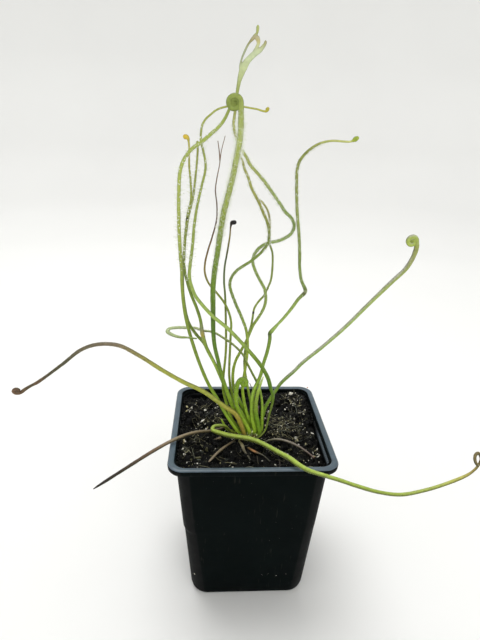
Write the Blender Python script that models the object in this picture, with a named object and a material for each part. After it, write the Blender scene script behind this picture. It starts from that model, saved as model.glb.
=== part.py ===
"""Potted fork-leaved sundew in a square nursery pot.

Each leaf, each withered leaf, the crown, the soil and the pot is one closed body.
Lengths below are millimetres. The origin is the centre of the pot's underside.
"""
import math

import bmesh
import bpy
import numpy as np
from mathutils import Vector

MM = 0.001

# Pot: a tapered square of thin black plastic under a rolled lip.
POT_HEIGHT = 98.0
RIM_HALF = 45.0
RIM_CORNER = 8.5
SKIRT_DROP = 3.6
LIP_INNER_HALF = 41.6
NECK_HALF = 40.6
BASE_HALF = 33.7
BASE_CORNER = 7.0
WALL = 1.3
FLOOR = 1.6
STEP_HEIGHT = 50.0
CORNER_STEPS = 4
DRAIN_RADIUS = 3.2
DRAIN_SPACING = 20.0

# Peat filling the pot, a few millimetres below the lip.
SOIL_TOP = 91.8
SOIL_GAP = 0.35
SOIL_CELLS = 22
SOIL_BUMP = 0.75

# Crown: the low mound of old leaf bases the leaves rise from.
CROWN_CENTRE = (-1.8, -1.8)
CROWN_RADII = (11.0, 9.0)
CROWN_HEIGHT = 1.7
CROWN_GAP = 0.35

# Route of every leaf, from its base to its tip.
ROUTES = {
    "tall_coiled_leaf": [
        (-2.8, -3, 95.1), (-6.6, -2.1, 102.4), (-9.8, -1.8, 109.7), (-12.6, -2, 117.5),
        (-16.4, -2.5, 129.5), (-18.8, -3, 140), (-20.7, -3.8, 149), (-21.5, -4.5, 157),
        (-21.8, -5, 172), (-21.9, -5.5, 182), (-21.2, -6, 191.5), (-19.8, -6.5, 201.5),
        (-18.5, -7.5, 211.5), (-17.1, -8, 221), (-14.8, -9, 231), (-12.6, -10, 240.5),
        (-10.9, -11, 250), (-9.8, -12, 260), (-9.6, -12, 266)],
    "forked_tip_leaf": [
        (-6.6, -4.4, 94.7), (-11.6, -2.8, 101.6), (-15.9, -1, 108.5), (-19.5, 0, 115.2),
        (-23.8, 0.5, 122.7), (-28.5, 1, 134.3), (-32.7, 1.5, 147.4), (-36.1, 1.5, 161.2),
        (-37.5, 1, 170.7), (-38.3, 0, 183.8), (-38.2, -1, 190.3), (-38.8, -1.6, 200.5),
        (-39.1, -2, 210.4), (-39.1, -3, 220.4), (-38.8, -4, 230.4), (-38, -5, 240.3),
        (-36.4, -5.5, 245.3), (-33, -6, 250.2), (-26.8, -6, 254.8), (-22.8, -6, 258.2),
        (-19.4, -5.5, 261.2), (-17, -4.5, 264.4), (-15.3, -4, 267.8), (-13.5, -3.5, 271.5),
        (-11.6, -3, 276), (-10.8, -3, 280.3), (-9.3, -3, 285), (-6.9, -3, 287.8),
        (-3.9, -3, 290.8), (-1.7, -3, 292.9), (0, -3, 294.5), (0.8, -3, 296),
        (0.9, -3, 297.4)],
    "forward_arching_leaf": [
        (4.8, -9.2, 93.7), (8.6, -7.6, 96.8), (11.1, -6, 107), (12.6, -7, 119.3),
        (10.9, -7.5, 125.1), (8.9, -8, 131.8), (5.9, -8.5, 137.7), (2.2, -9, 143.2),
        (-5.7, -9.5, 152.9), (-10, -10, 157.9), (-14.1, -10, 162.2), (-21.8, -10.5, 169),
        (-24.4, -10.5, 171.8), (-27.6, -10, 175.4), (-30.8, -10, 179.8), (-32.9, -9.5, 185.1),
        (-33.9, -9, 190.1), (-33.5, -8, 195.6), (-32.2, -7, 205.7), (-31.3, -5.5, 215.9),
        (-29.7, -4, 225.5), (-28.6, -3, 230.3), (-27.4, -2, 235.2), (-26.2, -1, 240),
        (-25.9, 0, 244), (-27, 1, 250), (-28.2, 1.5, 254.5), (-28.1, 2, 258.3),
        (-27.5, 2, 261.7), (-25.6, 2, 264.6), (-23.6, 2, 266.3), (-21.5, 2, 268),
        (-19.3, 2, 269.1), (-15, 2, 270.2), (-10, 2, 270.4), (-6.7, 2, 270),
        (-4, 2, 269.6), (-1.6, 2, 269.3), (1.1, 2, 268.6), (2.7, 2, 268.5), (3.5, 2, 269.6)],
    "swollen_bend_leaf": [
        (-3.1, 0.3, 95.1), (-6.2, 1.2, 102), (-9.4, 1.6, 109), (-13, 1.3, 117.5),
        (-17.2, 0.6, 128.5), (-21.2, -0.4, 138), (-23.9, -0.6, 143.6), (-26, -0.4, 148.8),
        (-27.6, 0, 155.2), (-28.5, 0.5, 162.2), (-30.4, 1, 168.8), (-34.2, 1.5, 178.9),
        (-36.9, 2, 190.5), (-36.9, 2, 201), (-35, 2, 218.8), (-33.2, 2, 226.8),
        (-33.4, 2, 237), (-33.9, 2, 242.3), (-34, 2, 253.5), (-34.6, 2, 255.8), (-35.6, 2, 256.2)],
    "rear_left_leaf": [
        (-5.1, 2.6, 95), (-7.6, 4.2, 102), (-10.9, 3.9, 109), (-13.2, 4, 116),
        (-17.3, 4, 126.5), (-22.2, 4.6, 138), (-27, 5.2, 147.2), (-31.2, 5.3, 152.4),
        (-35.4, 5.3, 159.6), (-37.8, 5.3, 172.4), (-38.2, 5.3, 184), (-37.4, 5.2, 198.6),
        (-34.6, 5, 218.2), (-32.8, 4.8, 225), (-31.8, 4.6, 231), (-30.7, 4.4, 240),
        (-30.1, 4.2, 246), (-29.8, 4.2, 250.6), (-29.9, 4.2, 252.2)],
    "side_loop_leaf": [
        (6.9, -3.9, 94.7), (7.4, -2, 104), (7.4, 0.4, 110.3), (5.7, 3, 119.3),
        (0.7, 2.2, 130.2), (-2.1, 0.2, 136.5), (-4.8, -0.8, 142.5), (-9.9, -1, 148.3),
        (-16.4, -0.6, 153), (-21.5, 0.6, 155.6), (-27.2, 3.6, 155.3), (-31.6, 7.6, 155.2),
        (-36.8, 8.6, 155), (-42.3, 7.6, 155.4), (-46.3, 5.7, 155.3), (-47, 3.9, 154.4),
        (-43.9, 1.5, 153.4), (-39.8, -1, 153.2), (-35.4, -2.5, 153.6), (-30.8, -3.4, 153.4)],
    "dry_tipped_leaf": [
        (-0.2, 1.4, 95), (-4, 3.1, 102.2), (-8, 4, 109), (-10.6, 4.2, 116.5),
        (-12.1, 4.3, 126.6), (-12.2, 4.2, 134.3), (-12, 4.2, 142.5), (-11.8, 4, 152.4),
        (-11.7, 3.8, 160.3), (-13.2, 3.6, 166.5), (-15.8, 3.5, 172), (-19.6, 3.4, 177.1),
        (-24.5, 3.4, 183.3), (-26.3, 3.4, 188.9), (-26.1, 3.4, 194.3), (-24.6, 3.4, 200.8),
        (-22.7, 3.4, 207.1), (-20.3, 3.4, 216.6), (-20.2, 3.4, 224.2), (-21, 3.4, 231.3),
        (-20.4, 3.4, 236.7), (-19.1, 3.4, 243.5), (-18.3, 3.4, 249.8), (-16.5, 3.4, 257)],
    "black_tipped_leaf": [
        (-7.3, -0.4, 94.7), (-10.3, 1.5, 99.6), (-12.8, 4.3, 106.4), (-14.8, 6.2, 113.3),
        (-15.6, 6.6, 118), (-15.3, 6.8, 127.2), (-14.5, 6.8, 137), (-14.2, 6.8, 145),
        (-14.5, 6.8, 157.3), (-15.2, 6.8, 175), (-15.9, 6.8, 183), (-15.7, 6.8, 190.8),
        (-14.3, 6.8, 200), (-13.2, 6.8, 207.7), (-12.8, 6.8, 213), (-12.2, 6.8, 214.7),
        (-11, 6.8, 215)],
    "wide_looping_leaf": [
        (1.8, 3.6, 94.9), (-2.3, 5.3, 102.5), (-6.5, 6.4, 111), (-9.2, 6.6, 118),
        (-9.9, 6.6, 123), (-9.7, 6.8, 129.4), (-8.4, 7.1, 135.2), (-5.4, 7.5, 141.6),
        (-2.6, 8, 147.1), (-0.9, 8.5, 151.5), (1.1, 9, 156.5), (4.1, 9.5, 161.3),
        (6.8, 10, 166.5), (7.8, 10, 172.2), (6.7, 10, 178.1), (4.8, 10, 181.6),
        (2.9, 10, 184.9), (0.7, 10, 189.6), (-0.4, 10, 193.5), (0.1, 10, 196.7),
        (1.6, 10, 199.5), (3.7, 10, 201.6), (7.5, 10, 203.7), (12.9, 10, 205),
        (16.6, 10, 206.6), (19.7, 10, 209.1), (21.2, 10, 213.3), (19.3, 10, 217.3),
        (15.9, 9.6, 220.4), (12.6, 9, 224.9), (6.5, 8, 232.7), (2.7, 7, 237.2),
        (-1.1, 6, 241.1), (-3.9, 5, 244), (-5.8, 4, 247.4), (-7.9, 2.5, 250.2),
        (-11, -1, 255.7), (-12.8, -5, 262.2), (-12.6, -7, 265.6)],
    "inner_looping_leaf": [
        (2.4, -1.2, 95.1), (-0.6, 0.2, 101.4), (-2.6, 2.2, 108.3), (-3.8, 3, 114.6),
        (-4.2, 3.3, 119.2), (-3.6, 3.5, 127), (-3.2, 3.7, 130), (-2.3, 4, 138.8),
        (-2, 4, 145.6), (-3.1, 4.3, 155.3), (-6.3, 4.6, 164), (-9.5, 5, 171.1),
        (-12.4, 5, 179.2), (-12.8, 5, 182), (-12, 5, 185.6), (-9.6, 5, 189.2),
        (-5.9, 5, 192.1), (-2.4, 5, 194.4), (2, 5, 198.1), (4.4, 5, 200.7),
        (6.9, 5, 204.6), (7.3, 5, 210.7), (5.9, 5, 216), (3.9, 5, 220.2),
        (1.7, 5, 224.9), (-0.4, 4.6, 228.6), (-2.7, 4, 232.6), (-4.8, 3.5, 238.2),
        (-6.8, 3, 242.3), (-7.9, 2, 245.6)],
    "rear_thin_leaf": [
        (4.8, 1.8, 94.8), (2.2, 5.4, 104.5), (-1, 8.4, 118), (-3, 10, 130),
        (-2.8, 11, 140), (-1.5, 12, 148.5), (0.3, 12.5, 155.1), (0.9, 12.7, 159.2),
        (1.8, 13, 165.4), (4.2, 13, 169.7), (6.8, 13, 172.9), (9.4, 13, 178.9),
        (10.4, 13, 181.9), (10.9, 13, 187), (10.6, 13, 197.4), (9.1, 13, 202),
        (8.4, 13, 207.5), (8.3, 13, 214.7), (7, 13, 220.3), (4.7, 13, 223.8), (2.6, 13, 226)],
    "kinked_bud_leaf": [
        (3.2, -4.1, 95), (1.8, -2.8, 101.5), (1.3, -1.5, 108), (1.4, -0.6, 115.3),
        (2.5, 0, 120.4), (4.1, 0.7, 124), (6, 1.3, 129.3), (7.2, 2, 135.6),
        (8.7, 2.6, 141), (9.8, 3.2, 146), (10.4, 3.7, 150.9), (10.3, 4, 153.6),
        (11.3, 4.2, 155), (13.9, 4.5, 158.2), (18.1, 5, 163.1), (22.2, 5.5, 168.6),
        (25.6, 6, 173.7), (29, 6, 177.7), (28.6, 6, 179.7), (26.4, 6, 184.1),
        (24.9, 6, 191.5), (24.4, 6, 198.6), (23.4, 6, 208.4), (21.4, 6, 222.2),
        (20.2, 5.5, 235.5), (19.9, 5, 241.9), (20.7, 4.7, 246), (22.8, 4.5, 249.2),
        (25.7, 4, 252.1), (29.2, 4, 254.4), (33.4, 3.5, 255.8), (36.8, 3, 256.2),
        (41.8, 3, 256), (44.6, 2.5, 256), (45.9, 2.5, 256.4), (47.5, 2.5, 257.4)],
    "short_bright_leaf": [
        (5.8, -6.3, 94.4), (4.7, -5.2, 101), (3.5, -4.3, 107), (3.3, -3.7, 112.5),
        (4.2, -3.2, 120), (5.6, -3, 125.5), (7, -3, 129.8)],
    "right_coiled_leaf": [
        (6.4, -1, 94.7), (7.9, 0.6, 101), (9.6, 2.2, 106.9), (12.3, 3.3, 112),
        (15.2, 4, 116.8), (18, 4.5, 121.2), (21.4, 5, 124.9), (26.1, 6, 129),
        (30.7, 7, 133.8), (42.3, 8, 144), (55, 9, 156.4), (65.8, 10.5, 168),
        (79.5, 12, 182.6), (86, 13, 189), (88.9, 13, 194.7), (90.6, 13, 199.5)],
    "left_spreading_leaf": [
        (-3, -7.3, 94.3), (-4.9, -7, 100.4), (-8.5, -7, 108), (-15.5, -7.5, 113.9),
        (-26.6, -8, 123.2), (-37.7, -8.8, 129.6), (-49, -9.4, 137.2), (-61.1, -10, 146.2),
        (-71.3, -11, 152.5), (-81.8, -12, 153.5), (-90.2, -13, 150.9), (-100.6, -14, 142.8),
        (-114.1, -15, 132.8), (-125.4, -16, 127.4)],
    "front_trailing_leaf": [
        (-10.9, -3.6, 94.4), (-14, -5, 98.5), (-17.4, -6.5, 100.2), (-20.8, -7.7, 100.3),
        (-21.7, -9.6, 99.4), (-18.2, -11.4, 98.7), (-11.8, -13, 97.7), (-1.8, -15, 97.1),
        (4, -17.5, 96.6), (9.5, -22, 96.3), (14.2, -29, 97.5), (18.6, -36, 99.2),
        (22.1, -44, 101.1), (25.9, -50, 102.3), (30.6, -54.5, 103.4), (40.5, -57, 101.5),
        (48.1, -58, 99.1), (60.4, -58.5, 95.2), (71.2, -59, 94), (82.2, -59, 96.2),
        (93.2, -59, 101), (102.9, -58.5, 105.3), (106.8, -58, 109.4), (105.8, -57, 113)],
    "young_crozier_leaf": [
        (0, -5.1, 94.9), (-2.8, -4.5, 101), (-5.6, -4.2, 106), (-7.4, -4.2, 110.5),
        (-8.3, -4.2, 116), (-8.4, -4.2, 121), (-7.8, -4.2, 125.4), (-6.1, -4.2, 128.4),
        (-4.2, -4.2, 128.9), (-2.9, -4.2, 127.4), (-3.3, -4.2, 125.6)],
    "small_hooked_leaf": [
        (-12.9, -0.6, 93.8), (-14.7, -0.8, 97), (-16.3, -1, 100.6)],
    "brown_hanging_leaf": [
        (-13.6, 2.2, 93.4), (-17.6, -1, 94), (-22.2, -4.6, 95.3), (-31.2, -9.6, 97.7),
        (-42.3, -19.5, 99.9), (-52.9, -24, 96.2), (-70.3, -30, 87.3), (-84.9, -34, 79)],
    "withered_leaf_front_left": [
        (-9.2, -12.1, 93.6), (-17.4, -21.8, 93.9), (-23.4, -31, 93.5)],
    "withered_leaf_front": [
        (-6.4, -12.1, 93.5), (-4.9, -17.8, 94.3), (-4.1, -21.6, 93.8), (-1.1, -29.8, 93.4)],
    "withered_leaf_arched": [
        (8.3, -13.5, 93.6), (14, -16, 97), (19.4, -18, 97.3), (26.8, -21, 95.4),
        (31.6, -25, 93.8), (33.8, -28.2, 93.4)],
    "withered_leaf_orange": [
        (-1.7, -18.8, 93.5), (2, -23.4, 94), (6, -26.3, 93.9), (9.3, -31, 93.4)],
    "withered_thread_front": [
        (2.9, -26.6, 93.2), (2.9, -33.1, 93.2)],
    "withered_stub_left": [
        (-17.2, -9.3, 93.6), (-20.8, -11.7, 93.6)],
    "withered_thread_right": [
        (14.7, -29.6, 93.2), (14.5, -35.1, 93.3)],
    "purple_withered_leaf": [
        (4.4, -2.1, 94.6), (4.9, -0.8, 102), (5.2, 0.4, 108.5)],
    "dry_thread_leaf": [
        (5.4, 4.8, 93.6), (5, 8.4, 104), (3.2, 10, 112), (0.6, 11.4, 118)],
}

# Half-thickness along each leaf: (share of its length, radius).
THICKNESS = {
    "tall_coiled_leaf": [(0, 1.5), (0.1, 1.5), (0.3, 1.3), (0.88, 1.2), (1, 0.5)],
    "forked_tip_leaf": [(0, 1.3), (0.15, 0.95), (0.85, 0.9), (0.91, 1.1), (0.96, 1), (1, 0.55)],
    "forward_arching_leaf": [(0, 0.5), (0.05, 0.6), (0.1, 1.2), (0.45, 1), (0.8, 0.9), (0.97, 0.6), (1, 0.75)],
    "swollen_bend_leaf": [(0, 1.2), (0.3, 0.95), (0.36, 1.3), (0.42, 0.9), (0.95, 0.6), (1, 0.9)],
    "rear_left_leaf": [(0, 1.1), (0.2, 0.9), (0.9, 0.85), (1, 0.5)],
    "side_loop_leaf": [(0, 0.9), (0.3, 0.6), (0.8, 0.55), (1, 0.4)],
    "dry_tipped_leaf": [(0, 1.1), (0.3, 0.8), (0.6, 0.6), (1, 0.35)],
    "black_tipped_leaf": [(0, 1.1), (0.3, 0.8), (0.94, 0.5), (0.985, 1.1), (1, 0.7)],
    "wide_looping_leaf": [(0, 1.2), (0.2, 0.9), (0.9, 0.85), (1, 0.5)],
    "inner_looping_leaf": [(0, 1.1), (0.2, 0.85), (0.9, 0.8), (1, 0.5)],
    "rear_thin_leaf": [(0, 0.9), (0.4, 0.65), (1, 0.5)],
    "kinked_bud_leaf": [(0, 1.3), (0.1, 1.3), (0.2, 1.0), (0.94, 0.75), (0.955, 0.8), (0.98, 1.3), (1, 0.8)],
    "short_bright_leaf": [(0, 1.1), (0.5, 1.0), (1, 0.5)],
    "right_coiled_leaf": [(0, 1.0), (0.3, 1.0), (0.7, 1.15), (0.86, 1.2), (0.92, 0.95), (1, 0.5)],
    "left_spreading_leaf": [(0, 1.6), (0.15, 1.35), (0.7, 1.15), (1, 0.7)],
    "front_trailing_leaf": [(0, 0.9), (0.05, 0.8), (0.12, 1.25), (0.4, 1.35), (0.6, 0.95), (0.95, 0.75), (1, 0.8)],
    "young_crozier_leaf": [(0, 1.2), (0.6, 1.2), (0.85, 1.15), (1, 0.8)],
    "small_hooked_leaf": [(0, 0.8), (1, 0.5)],
    "brown_hanging_leaf": [(0, 0.9), (0.5, 1), (0.8, 0.95), (1, 0.45)],
    "withered_leaf_front_left": [(0, 0.6), (0.4, 0.9), (1, 0.8)],
    "withered_leaf_front": [(0, 0.7), (0.4, 1.0), (1, 0.6)],
    "withered_leaf_arched": [(0, 0.6), (0.4, 0.75), (1, 0.6)],
    "withered_leaf_orange": [(0, 0.7), (0.4, 1.0), (1, 0.6)],
    "withered_thread_front": [(0, 0.45), (1, 0.5)],
    "withered_stub_left": [(0, 0.9), (1, 0.8)],
    "withered_thread_right": [(0, 0.45), (1, 0.5)],
    "purple_withered_leaf": [(0, 0.6), (1, 0.45)],
    "dry_thread_leaf": [(0, 0.5), (1, 0.4)],
}

# Side branches of the two forked leaves.
BRANCHES = {
    "forked_tip_leaf": [
        ([(-10, -3, 283.6), (-10.1, -3, 288), (-9.4, -3, 290.2), (-8.3, -3, 292.6),
          (-6.8, -3, 295), (-5.1, -3, 297), (-3.9, -3, 298.7), (-3.2, -3, 300.2),
          (-3, -3, 302.4)], [(0, 0.6), (0.3, 0.6), (0.7, 0.6), (1, 0.6)]),
        ([(-4.5, -3, 290.4), (-3.4, -3.4, 293.6), (-2.7, -4, 295.6), (-2.8, -4.4, 297),
          (-3.7, -4.5, 298.2)], [(0, 0.8), (0.5, 0.75), (1, 0.5)])],
    "dry_tipped_leaf": [
        ([(-18.7, 3.4, 246.2), (-19.2, 3.4, 250), (-20, 3.4, 254.8)], [(0, 0.4), (1, 0.3)])],
}

# Rolled-up ends: centre, first and last coil radius, turns, and turning direction.
SCROLLS = {
    "tall_coiled_leaf": ((-13.2, -12, 270.9), 3.5, 0.9, 1.35),
    "right_coiled_leaf": ((87.6, 13.2, 204.6), 3.2, 0.9, 1.2),
}

COLOURS = {
    "petiole green": (0.16, 0.34, 0.03),
    "pale green": (0.32, 0.48, 0.12),
    "olive": (0.28, 0.30, 0.06),
    "brown": (0.16, 0.10, 0.06),
    "grey brown": (0.22, 0.19, 0.16),
    "orange brown": (0.35, 0.15, 0.05),
    "black plastic": (0.012, 0.014, 0.016),
    "peat": (0.02, 0.015, 0.01),
}

LEAF_COLOUR = {
    "tall_coiled_leaf": "petiole green",
    "left_spreading_leaf": "olive",
    "dry_tipped_leaf": "olive",
    "black_tipped_leaf": "olive",
    "small_hooked_leaf": "olive",
    "brown_hanging_leaf": "brown",
    "withered_leaf_front_left": "brown",
    "withered_leaf_front": "grey brown",
    "withered_leaf_arched": "grey brown",
    "withered_leaf_orange": "orange brown",
    "withered_thread_front": "grey brown",
    "withered_stub_left": "brown",
    "withered_thread_right": "grey brown",
    "purple_withered_leaf": "grey brown",
    "dry_thread_leaf": "grey brown",
}

for old in list(bpy.data.objects):
    bpy.data.objects.remove(old, do_unlink=True)


def material(name):
    """One plain shader of the named colour, made once."""
    found = bpy.data.materials.get(name)
    if found:
        return found
    made = bpy.data.materials.new(name)
    made.use_nodes = True
    shader = made.node_tree.nodes["Principled BSDF"]
    shader.inputs["Base Color"].default_value = (*COLOURS[name], 1.0)
    shader.inputs["Roughness"].default_value = 0.6
    return made


def add_body(name, points, faces, colour):
    """Make one closed body from points in millimetres."""
    mesh = bpy.data.meshes.new(name)
    mesh.from_pydata([(x * MM, y * MM, z * MM) for x, y, z in points], [], faces)
    build = bmesh.new()
    build.from_mesh(mesh)
    bmesh.ops.recalc_face_normals(build, faces=build.faces)
    build.to_mesh(mesh)
    build.free()
    body = bpy.data.objects.new(name, mesh)
    bpy.context.scene.collection.objects.link(body)
    mesh.materials.append(material(colour))
    return body


def boolean(body, other, operation):
    """Apply one exact Boolean and drop the second body."""
    step = body.modifiers.new(operation.lower(), "BOOLEAN")
    step.operation = operation
    step.solver = "EXACT"
    step.object = other
    other.hide_render = True
    other.display_type = "WIRE"
    bpy.context.view_layer.update()
    finished = bpy.data.meshes.new_from_object(
        body.evaluated_get(bpy.context.evaluated_depsgraph_get()))
    body.modifiers.clear()
    body.data = finished
    bpy.data.objects.remove(other, do_unlink=True)


def smooth(body, degrees=40):
    """Shade smooth, with creases left sharp."""
    body.data.shade_smooth()
    body.data.set_sharp_from_angle(angle=math.radians(degrees))


def flowing(route, pitch=0.4):
    """Points every pitch millimetres along a smooth curve through the route."""
    knots = [np.array(p, float) for p in route]
    knots = [2 * knots[0] - knots[1]] + knots + [2 * knots[-1] - knots[-2]]
    dense = []
    for a, b, c, d in zip(knots, knots[1:], knots[2:], knots[3:]):
        t1 = np.linalg.norm(b - a) ** 0.5
        t2 = t1 + np.linalg.norm(c - b) ** 0.5
        t3 = t2 + np.linalg.norm(d - c) ** 0.5
        count = max(2, int(np.linalg.norm(c - b) / pitch))
        for t in np.linspace(t1, t2, count, endpoint=False):
            ab = a + (b - a) * t / t1
            bc = b + (c - b) * (t - t1) / (t2 - t1)
            cd = c + (d - c) * (t - t2) / (t3 - t2)
            abc = ab + (bc - ab) * t / t2
            bcd = bc + (cd - bc) * (t - t1) / (t3 - t1)
            dense.append(abc + (bcd - abc) * (t - t1) / (t2 - t1))
    dense.append(knots[-2])
    return np.array(dense)


def scroll(centre, first, last, turns, steps=22):
    """Points of a flat spiral rolling over to the left and inwards."""
    points = []
    for i in range(steps):
        share = i / (steps - 1)
        angle = 2 * math.pi * turns * share
        radius = first + (last - first) * share
        points.append((centre[0] + radius * math.cos(angle), centre[1],
                       centre[2] + radius * math.sin(angle)))
    return points


def stations(line, bend=14, reach=13):
    """Pick the rings: close together in a bend, far apart on a straight run."""
    chosen = [0]
    turned = 0
    run = 0
    for i in range(1, len(line) - 1):
        before = line[i] - line[i - 1]
        after = line[i + 1] - line[i]
        run += np.linalg.norm(before)
        cosine = before @ after / (np.linalg.norm(before) * np.linalg.norm(after))
        turned += math.degrees(math.acos(max(-1, min(1, cosine))))
        if turned > bend or run > reach:
            chosen.append(i)
            turned = 0
            run = 0
    if len(line) - 1 - chosen[-1] < 3 and len(chosen) > 1:
        chosen.pop()
    chosen.append(len(line) - 1)
    return chosen


def tube(name, line, thickness, colour, sides=8):
    """Sweep a round section of changing thickness along a line of points."""
    gaps = np.linalg.norm(np.diff(line, axis=0), axis=1)
    travelled = np.concatenate([[0], np.cumsum(gaps)])
    shares, radii = zip(*thickness)
    size = np.interp(travelled / travelled[-1], shares, radii)
    points = []
    side = None
    picked = stations(line)
    for i in picked:
        ahead = Vector(line[min(i + 1, len(line) - 1)] - line[max(i - 1, 0)]).normalized()
        if side is None:
            side = ahead.orthogonal().normalized()
        side = (side - ahead * side.dot(ahead)).normalized()
        other = ahead.cross(side)
        if i == 0:
            points.append(Vector(line[0]) - ahead * size[0] * 0.4)
        for k in range(sides):
            turn = 2 * math.pi * k / sides
            points.append(Vector(line[i]) + (side * math.cos(turn) + other * math.sin(turn)) * size[i])
    points.append(Vector(line[-1]) + ahead * size[-1] * 0.5)
    last = len(points) - 1
    faces = [(0, 1 + (k + 1) % sides, 1 + k) for k in range(sides)]
    for ring in range(len(picked) - 1):
        start = 1 + ring * sides
        for k in range(sides):
            after = (k + 1) % sides
            faces.append((start + k, start + after, start + sides + after, start + sides + k))
    start = last - sides
    faces += [(start + k, start + (k + 1) % sides, last) for k in range(sides)]
    return add_body(name, points, faces, colour)


def rounded_square(half, corner, height):
    """Points of a square with rounded corners, counter-clockwise."""
    points = []
    for quarter in range(4):
        sx = (1, -1, -1, 1)[quarter]
        sy = (1, 1, -1, -1)[quarter]
        for i in range(CORNER_STEPS + 1):
            angle = math.radians(90 * (quarter + i / CORNER_STEPS))
            points.append((sx * (half - corner) + corner * math.cos(angle),
                           sy * (half - corner) + corner * math.sin(angle), height))
    return points


def loft(name, outline, colour):
    """Close a stack of rounded squares into one body."""
    count = 4 * (CORNER_STEPS + 1)
    points = [p for ring in outline for p in rounded_square(*ring)]
    faces = [tuple(reversed(range(count)))]
    for ring in range(len(outline) - 1):
        for k in range(count):
            after = (k + 1) % count
            low = ring * count
            faces.append((low + k, low + after, low + count + after, low + count + k))
    top = (len(outline) - 1) * count
    faces.append(tuple(range(top, top + count)))
    return add_body(name, points, faces, colour)


def wall_half(height):
    """Half-width of the pot's outer wall, with its slight step half way up."""
    share = height / (POT_HEIGHT - SKIRT_DROP)
    half = BASE_HALF + (NECK_HALF - BASE_HALF) * share
    return half + (0.4 if height > STEP_HEIGHT else -0.1)


def inside_half(height):
    return wall_half(height) - WALL


neck = POT_HEIGHT - 1.4
pot = loft("square_nursery_pot", [
    (BASE_HALF - 1.2, BASE_CORNER - 1, 0),
    (BASE_HALF - 0.2, BASE_CORNER, 1.2),
    (wall_half(STEP_HEIGHT - 1), BASE_CORNER + 0.5, STEP_HEIGHT - 1),
    (wall_half(STEP_HEIGHT + 1), BASE_CORNER + 0.5, STEP_HEIGHT + 1),
    (wall_half(POT_HEIGHT - SKIRT_DROP), BASE_CORNER + 1, neck),
    (RIM_HALF - 1.2, RIM_CORNER - 1, neck),
    (RIM_HALF - 1.2, RIM_CORNER - 1, POT_HEIGHT - SKIRT_DROP),
    (RIM_HALF - 0.2, RIM_CORNER, POT_HEIGHT - SKIRT_DROP),
    (RIM_HALF, RIM_CORNER, POT_HEIGHT - 0.9),
    (RIM_HALF - 0.7, RIM_CORNER - 0.6, POT_HEIGHT),
    (LIP_INNER_HALF + 0.4, RIM_CORNER - 2, POT_HEIGHT),
    (LIP_INNER_HALF, RIM_CORNER - 2.4, POT_HEIGHT - 0.6),
    (LIP_INNER_HALF - 0.4, RIM_CORNER - 2.6, POT_HEIGHT - 1.9),
    (inside_half(POT_HEIGHT - SKIRT_DROP), BASE_CORNER - 0.6, POT_HEIGHT - SKIRT_DROP),
    (inside_half(STEP_HEIGHT + 1), BASE_CORNER - 0.9, STEP_HEIGHT + 1),
    (inside_half(STEP_HEIGHT - 1), BASE_CORNER - 0.9, STEP_HEIGHT - 1),
    (inside_half(FLOOR), BASE_CORNER - 1.2, FLOOR),
], "black plastic")

for sx in (-1, 0, 1):
    for sy in (-1, 0, 1):
        if sx == 0 and sy == 0:
            continue
        drill = []
        for z in (-1, FLOOR + 1):
            for k in range(10):
                turn = 2 * math.pi * k / 10
                drill.append((sx * DRAIN_SPACING + DRAIN_RADIUS * math.cos(turn),
                              sy * DRAIN_SPACING + DRAIN_RADIUS * math.sin(turn), z))
        sheet = [tuple(range(9, -1, -1)), tuple(range(10, 20))]
        sheet += [(k, (k + 1) % 10, 10 + (k + 1) % 10, 10 + k) for k in range(10)]
        boolean(pot, add_body("drill", drill, sheet, "black plastic"), "DIFFERENCE")
smooth(pot)


def ground(x, y):
    """Height of the peat: uneven, level near the crown and lower at the wall."""
    away = math.hypot((x - CROWN_CENTRE[0]) / CROWN_RADII[0], (y - CROWN_CENTRE[1]) / CROWN_RADII[1])
    rough = (math.sin(0.62 * x + 1.3) * math.cos(0.55 * y - 0.4) + 0.6 * math.sin(1.05 * x - 0.9 * y)
             + 0.5 * math.cos(0.35 * x + 0.8 * y + 2.0)) / 2.1
    level = min(1, max(0, (away - 1.1) / 0.7))
    edge = max(0, max(abs(x), abs(y)) - 33) / 6
    return SOIL_TOP + SOIL_BUMP * level * (rough - 0.15) - 0.8 * edge * edge


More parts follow.
